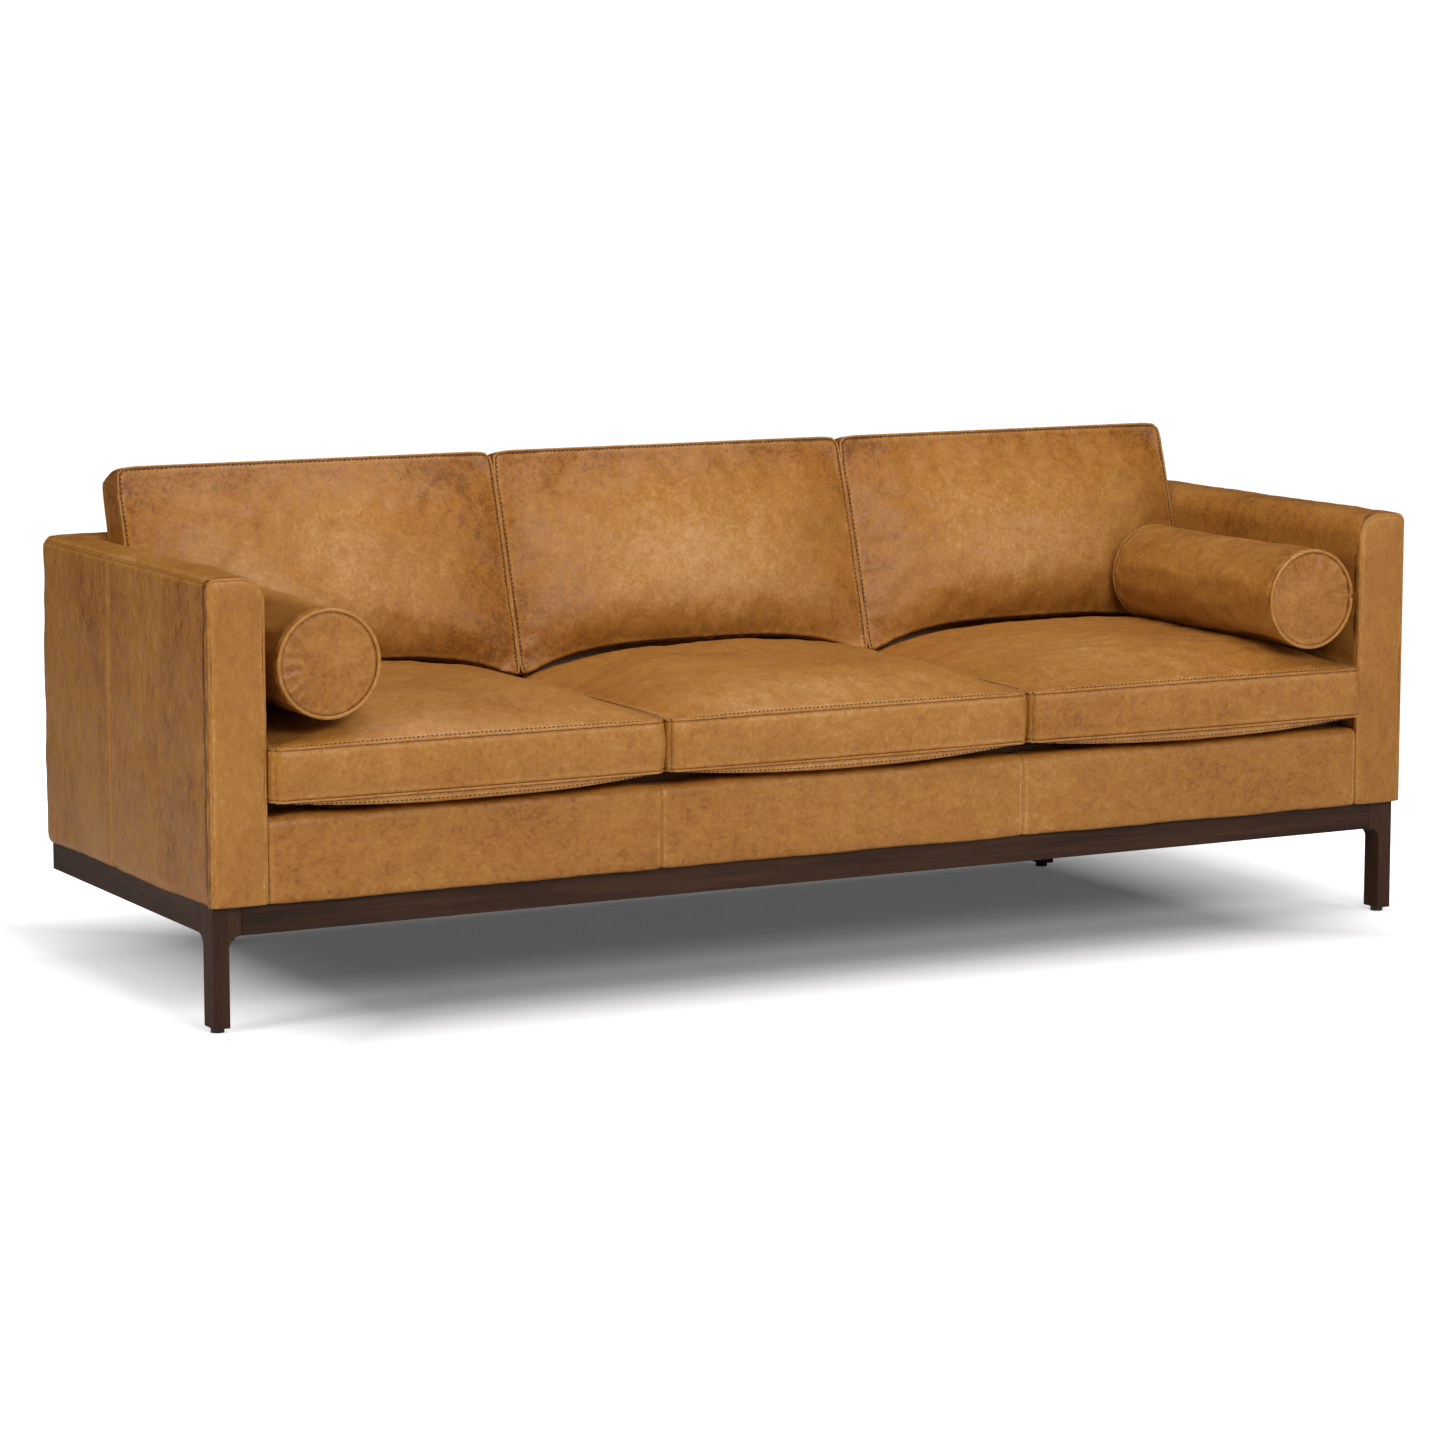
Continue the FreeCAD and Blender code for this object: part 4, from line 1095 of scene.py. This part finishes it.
def box_cushion(kind, name):
    cushion = seat_cushion(name) if kind == "seat_cushion" else back_cushion(name)
    under = np.arange(cushion.size, 2 * cushion.size)
    reach = np.abs(cushion.local[under]).max(axis=0) - np.abs(cushion.local[under])
    margin = 0.0 if kind == "seat_cushion" else 0.05
    cushion.held = under[(reach[:, 0] >= margin) & (reach[:, 1] >= margin)]
    cushion.shrink = 0.003 if kind == "seat_cushion" else 0.012
    cushion.sides = np.arange(2 * cushion.size, len(cushion.points))
    cushion.loops = [cushion.loops[0], cushion.loops[-1]]
    cushion.cap = 0.020
    return cushion


def middle_of(points):
    """Centre and half size of a cushion."""
    low, high = points.min(axis=0), points.max(axis=0)
    return (low + high) / 2, (high - low) / 2


def seat_folds(points):
    centre, half = middle_of(points)

    def where(p):
        corner = np.linalg.norm((half - np.abs(p - centre))[:, :2], axis=1)
        return 0.08 + 1.1 * np.exp(-corner / 0.05)

    # Painted highlight: a paler band some 6 cm behind the front edge of the seat.
    def glow(p):
        return 0.14 * np.exp(-((p[:, 1] - centre[1] + half[1] - 0.06) / 0.09) ** 2)

    return {"pitch": 0.023, "height": 0.0014, "reach": 0.030, "soft": 0.0018, "line": 0.0042,
            "where": where, "glow": glow}


def back_folds(points):
    centre, half = middle_of(points)

    def where(p):
        return 0.10 + 1.3 * np.exp(-(p[:, 2] - centre[2] + half[2]) / 0.08)

    # Painted sheen: paler in the middle of the face; the whole face a little darker, and darker
    # still towards the top.
    def glow(p):
        u = (p - centre) / half
        middle = np.exp(-2.4 * (u[:, 0] ** 2 + (u[:, 2] - 0.02) ** 2))
        return 0.44 * middle - 0.07 - 0.14 * np.clip((u[:, 2] - 0.5) / 0.5, 0, 1)

    return {"pitch": 0.031, "height": 0.0022, "reach": 0.042, "soft": 0.0020, "line": 0.0042,
            "where": where, "glow": glow}


def bolster_folds(points):
    centre, half = middle_of(points)

    def where(p):
        off_axis = np.hypot(p[:, 0] - centre[0], p[:, 2] - centre[2]) / half[0]
        return np.where(off_axis < 0.95, 1.0, 0.3)

    def glow(p):
        return np.zeros(len(p))

    # The wider line makes a wider ring of painted shade just inside the piping.
    return {"pitch": 0.026, "height": 0.0021, "reach": 0.030, "soft": 0.0010, "line": 0.0058,
            "where": where, "glow": glow}


FOLDS = {"seat": seat_folds, "back": back_folds, "bolster": bolster_folds}

cushions = {"%s_%s" % (kind, name): box_cushion(kind, name)
            for kind in ("seat_cushion", "back_cushion") for name in SEATS}
cushions.update({"bolster_" + name: bolster_cushion(name) for name in SIDES})
for k, (name, cushion) in enumerate(cushions.items()):
    hide = leather("leather_" + name, 80 + k)
    cushion.seams = np.concatenate(cushion.loops)
    cushion.obj = add_mesh(name, cushion.points, cushion.faces, hide, name)
inflate(list(cushions.values()))
for k, (name, cushion) in enumerate(cushions.items()):
    obj = cushion.obj
    smooth_copy(obj, 1)
    kind = name.split("_")[0]
    crease(obj, cushion.loops, 90 + k, **FOLDS[kind](read(obj.data)))
    if kind == "bolster":
        sew(name, obj, cushion.loops, [], 0.0032, 0.0016)
    else:
        write_points(obj.data, cushion_limits(name, read(obj.data)))
        rows = [grid_ring(*cushion.shape, 2), cushion.size + grid_ring(*cushion.shape, 2)]
        foot = cushion.shape[1] - 2 if kind == "back" else 0
        sew(name, obj, cushion.loops, rows, 0.0022, 0.0012, foot)
    if kind == "seat":
        seat_trees[name] = BVHTree.FromPolygons(
            [tuple(v.co) for v in obj.data.vertices], [tuple(f.vertices) for f in obj.data.polygons])
    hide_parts(name + "_cover", name + "_core")

add_mesh("body_seams", material=hides["welt"], **rubbed_and_highlit(welts))
add_mesh("body_stitches", *merged(stitches), thread)


# ---- studio -------------------------------------------------------------------------------
def add_area(name, place, aim, size, energy, mirrored=True):
    light = bpy.data.lights.new(name, "AREA")
    light.shape = "RECTANGLE"
    light.size, light.size_y = size
    light.energy = energy
    obj = bpy.data.objects.new(name, light)
    bpy.context.scene.collection.objects.link(obj)
    obj.location = place
    obj.rotation_euler = (Vector(aim) - Vector(place)).to_track_quat("-Z", "Y").to_euler()
    obj.visible_glossy = mirrored


def add_floor():
    """Pale floor with a painted shadow: greyer under and around the sofa, and glowing for the camera
    only, faintly under the sofa and up to white away from it.
    """
    n = Nodes(bpy.data.materials.new("floor"))
    at = n.add("SeparateXYZ", {0: n.coordinates()})
    past_x = n.math("SUBTRACT", n.math("ABSOLUTE", at.outputs["X"]), HALF_WIDTH - 0.30)
    past_y = n.math("SUBTRACT", n.math("ABSOLUTE", at.outputs["Y"]), REAR)
    away = n.math("MAXIMUM", past_x, past_y)
    colour = n.ramp(n.noise(n.coordinates(), 3, 3), [(0.3, (0.86, 0.86, 0.86)),
                                                     (0.7, (0.88, 0.88, 0.88))])
    seen = n.add("LightPath").outputs["Is Camera Ray"]
    # Camera-only emission: painted light, weakest under the sofa.
    glow = n.math("MULTIPLY", n.span(away, -0.02, 0.55, 0.085, 1.0), seen)
    # Painted shadow: the floor colour turns grey under and near the sofa.
    colour = n.mix(n.span(away, -0.15, 0.40), (0.40, 0.40, 0.40, 1), colour)
    n.tree.links.new(glow, n.shader.inputs["Emission Strength"])
    n.shader.inputs["Emission Color"].default_value = (1, 1, 1, 1)
    material = n.finish(colour, 0.7, Specular_IOR_Level=0.1)
    mesh = bpy.data.meshes.new("floor")
    reach = 40.0
    mesh.from_pydata([(-reach, -reach, 0), (reach, -reach, 0), (reach, reach, 0),
                      (-reach, reach, 0)], [], [(0, 1, 2, 3)])
    mesh.materials.append(material)
    floor = bpy.data.objects.new("floor", mesh)
    bpy.context.scene.collection.objects.link(floor)


def add_world():
    """Soft grey-white surroundings, seen by the camera as a white backdrop."""
    world = bpy.data.worlds.new("studio")
    bpy.context.scene.world = world
    n = Nodes(world)
    soft = n.tree.nodes["Background"]
    up = n.add("SeparateXYZ", {0: n.add("TexCoord").outputs["Generated"]}).outputs["Z"]
    n.tree.links.new(n.span(up, -0.1, 1.0, 0.13, 0.85), soft.inputs["Strength"])
    white = n.add("Background", {"Color": (1, 1, 1, 1), "Strength": 1.05})
    mix = n.add("MixShader", {0: n.add("LightPath").outputs["Is Camera Ray"],
                              1: soft.outputs[0], 2: white.outputs[0]})
    n.tree.links.new(mix.outputs[0], n.tree.nodes["World Output"].inputs["Surface"])


CAMERA_AIM = Vector((-0.046, -0.022, 0.3815))
CAMERA_AZIMUTH = math.radians(-28.24)
CAMERA_ELEVATION = math.radians(8.11)
CAMERA_DISTANCE = 8.0
CAMERA_LENS = 114.4         # mm, on a sensor 36 mm wide


def add_camera():
    azimuth, elevation = CAMERA_AZIMUTH, CAMERA_ELEVATION
    back = Vector((math.sin(azimuth) * math.cos(elevation),
                   -math.cos(azimuth) * math.cos(elevation), math.sin(elevation)))
    camera = bpy.data.cameras.new("camera")
    camera.lens = CAMERA_LENS
    camera.sensor_width = 36.0
    obj = bpy.data.objects.new("camera", camera)
    bpy.context.scene.collection.objects.link(obj)
    obj.location = CAMERA_AIM + back * CAMERA_DISTANCE
    obj.rotation_mode = "QUATERNION"
    obj.rotation_quaternion = (-back).to_track_quat("-Z", "Y")
    bpy.context.scene.camera = obj


add_floor()
add_camera()
add_world()
add_area("key", (-0.4, -4.9, 3.0), (0, 0.1, 0.55), (2.6, 1.8), 164)
add_area("top", (0.2, -0.4, 4.2), (0, 0, 0.3), (4.0, 2.6), 110)
add_area("fill", (3.2, -4.0, 1.8), (0, 0, 0.4), (2.0, 2.0), 52)
add_area("side", (-5.2, -1.2, 2.4), (-1.1, 0, 0.45), (1.6, 1.6), 110, False)
bpy.context.scene.view_settings.view_transform = "Standard"
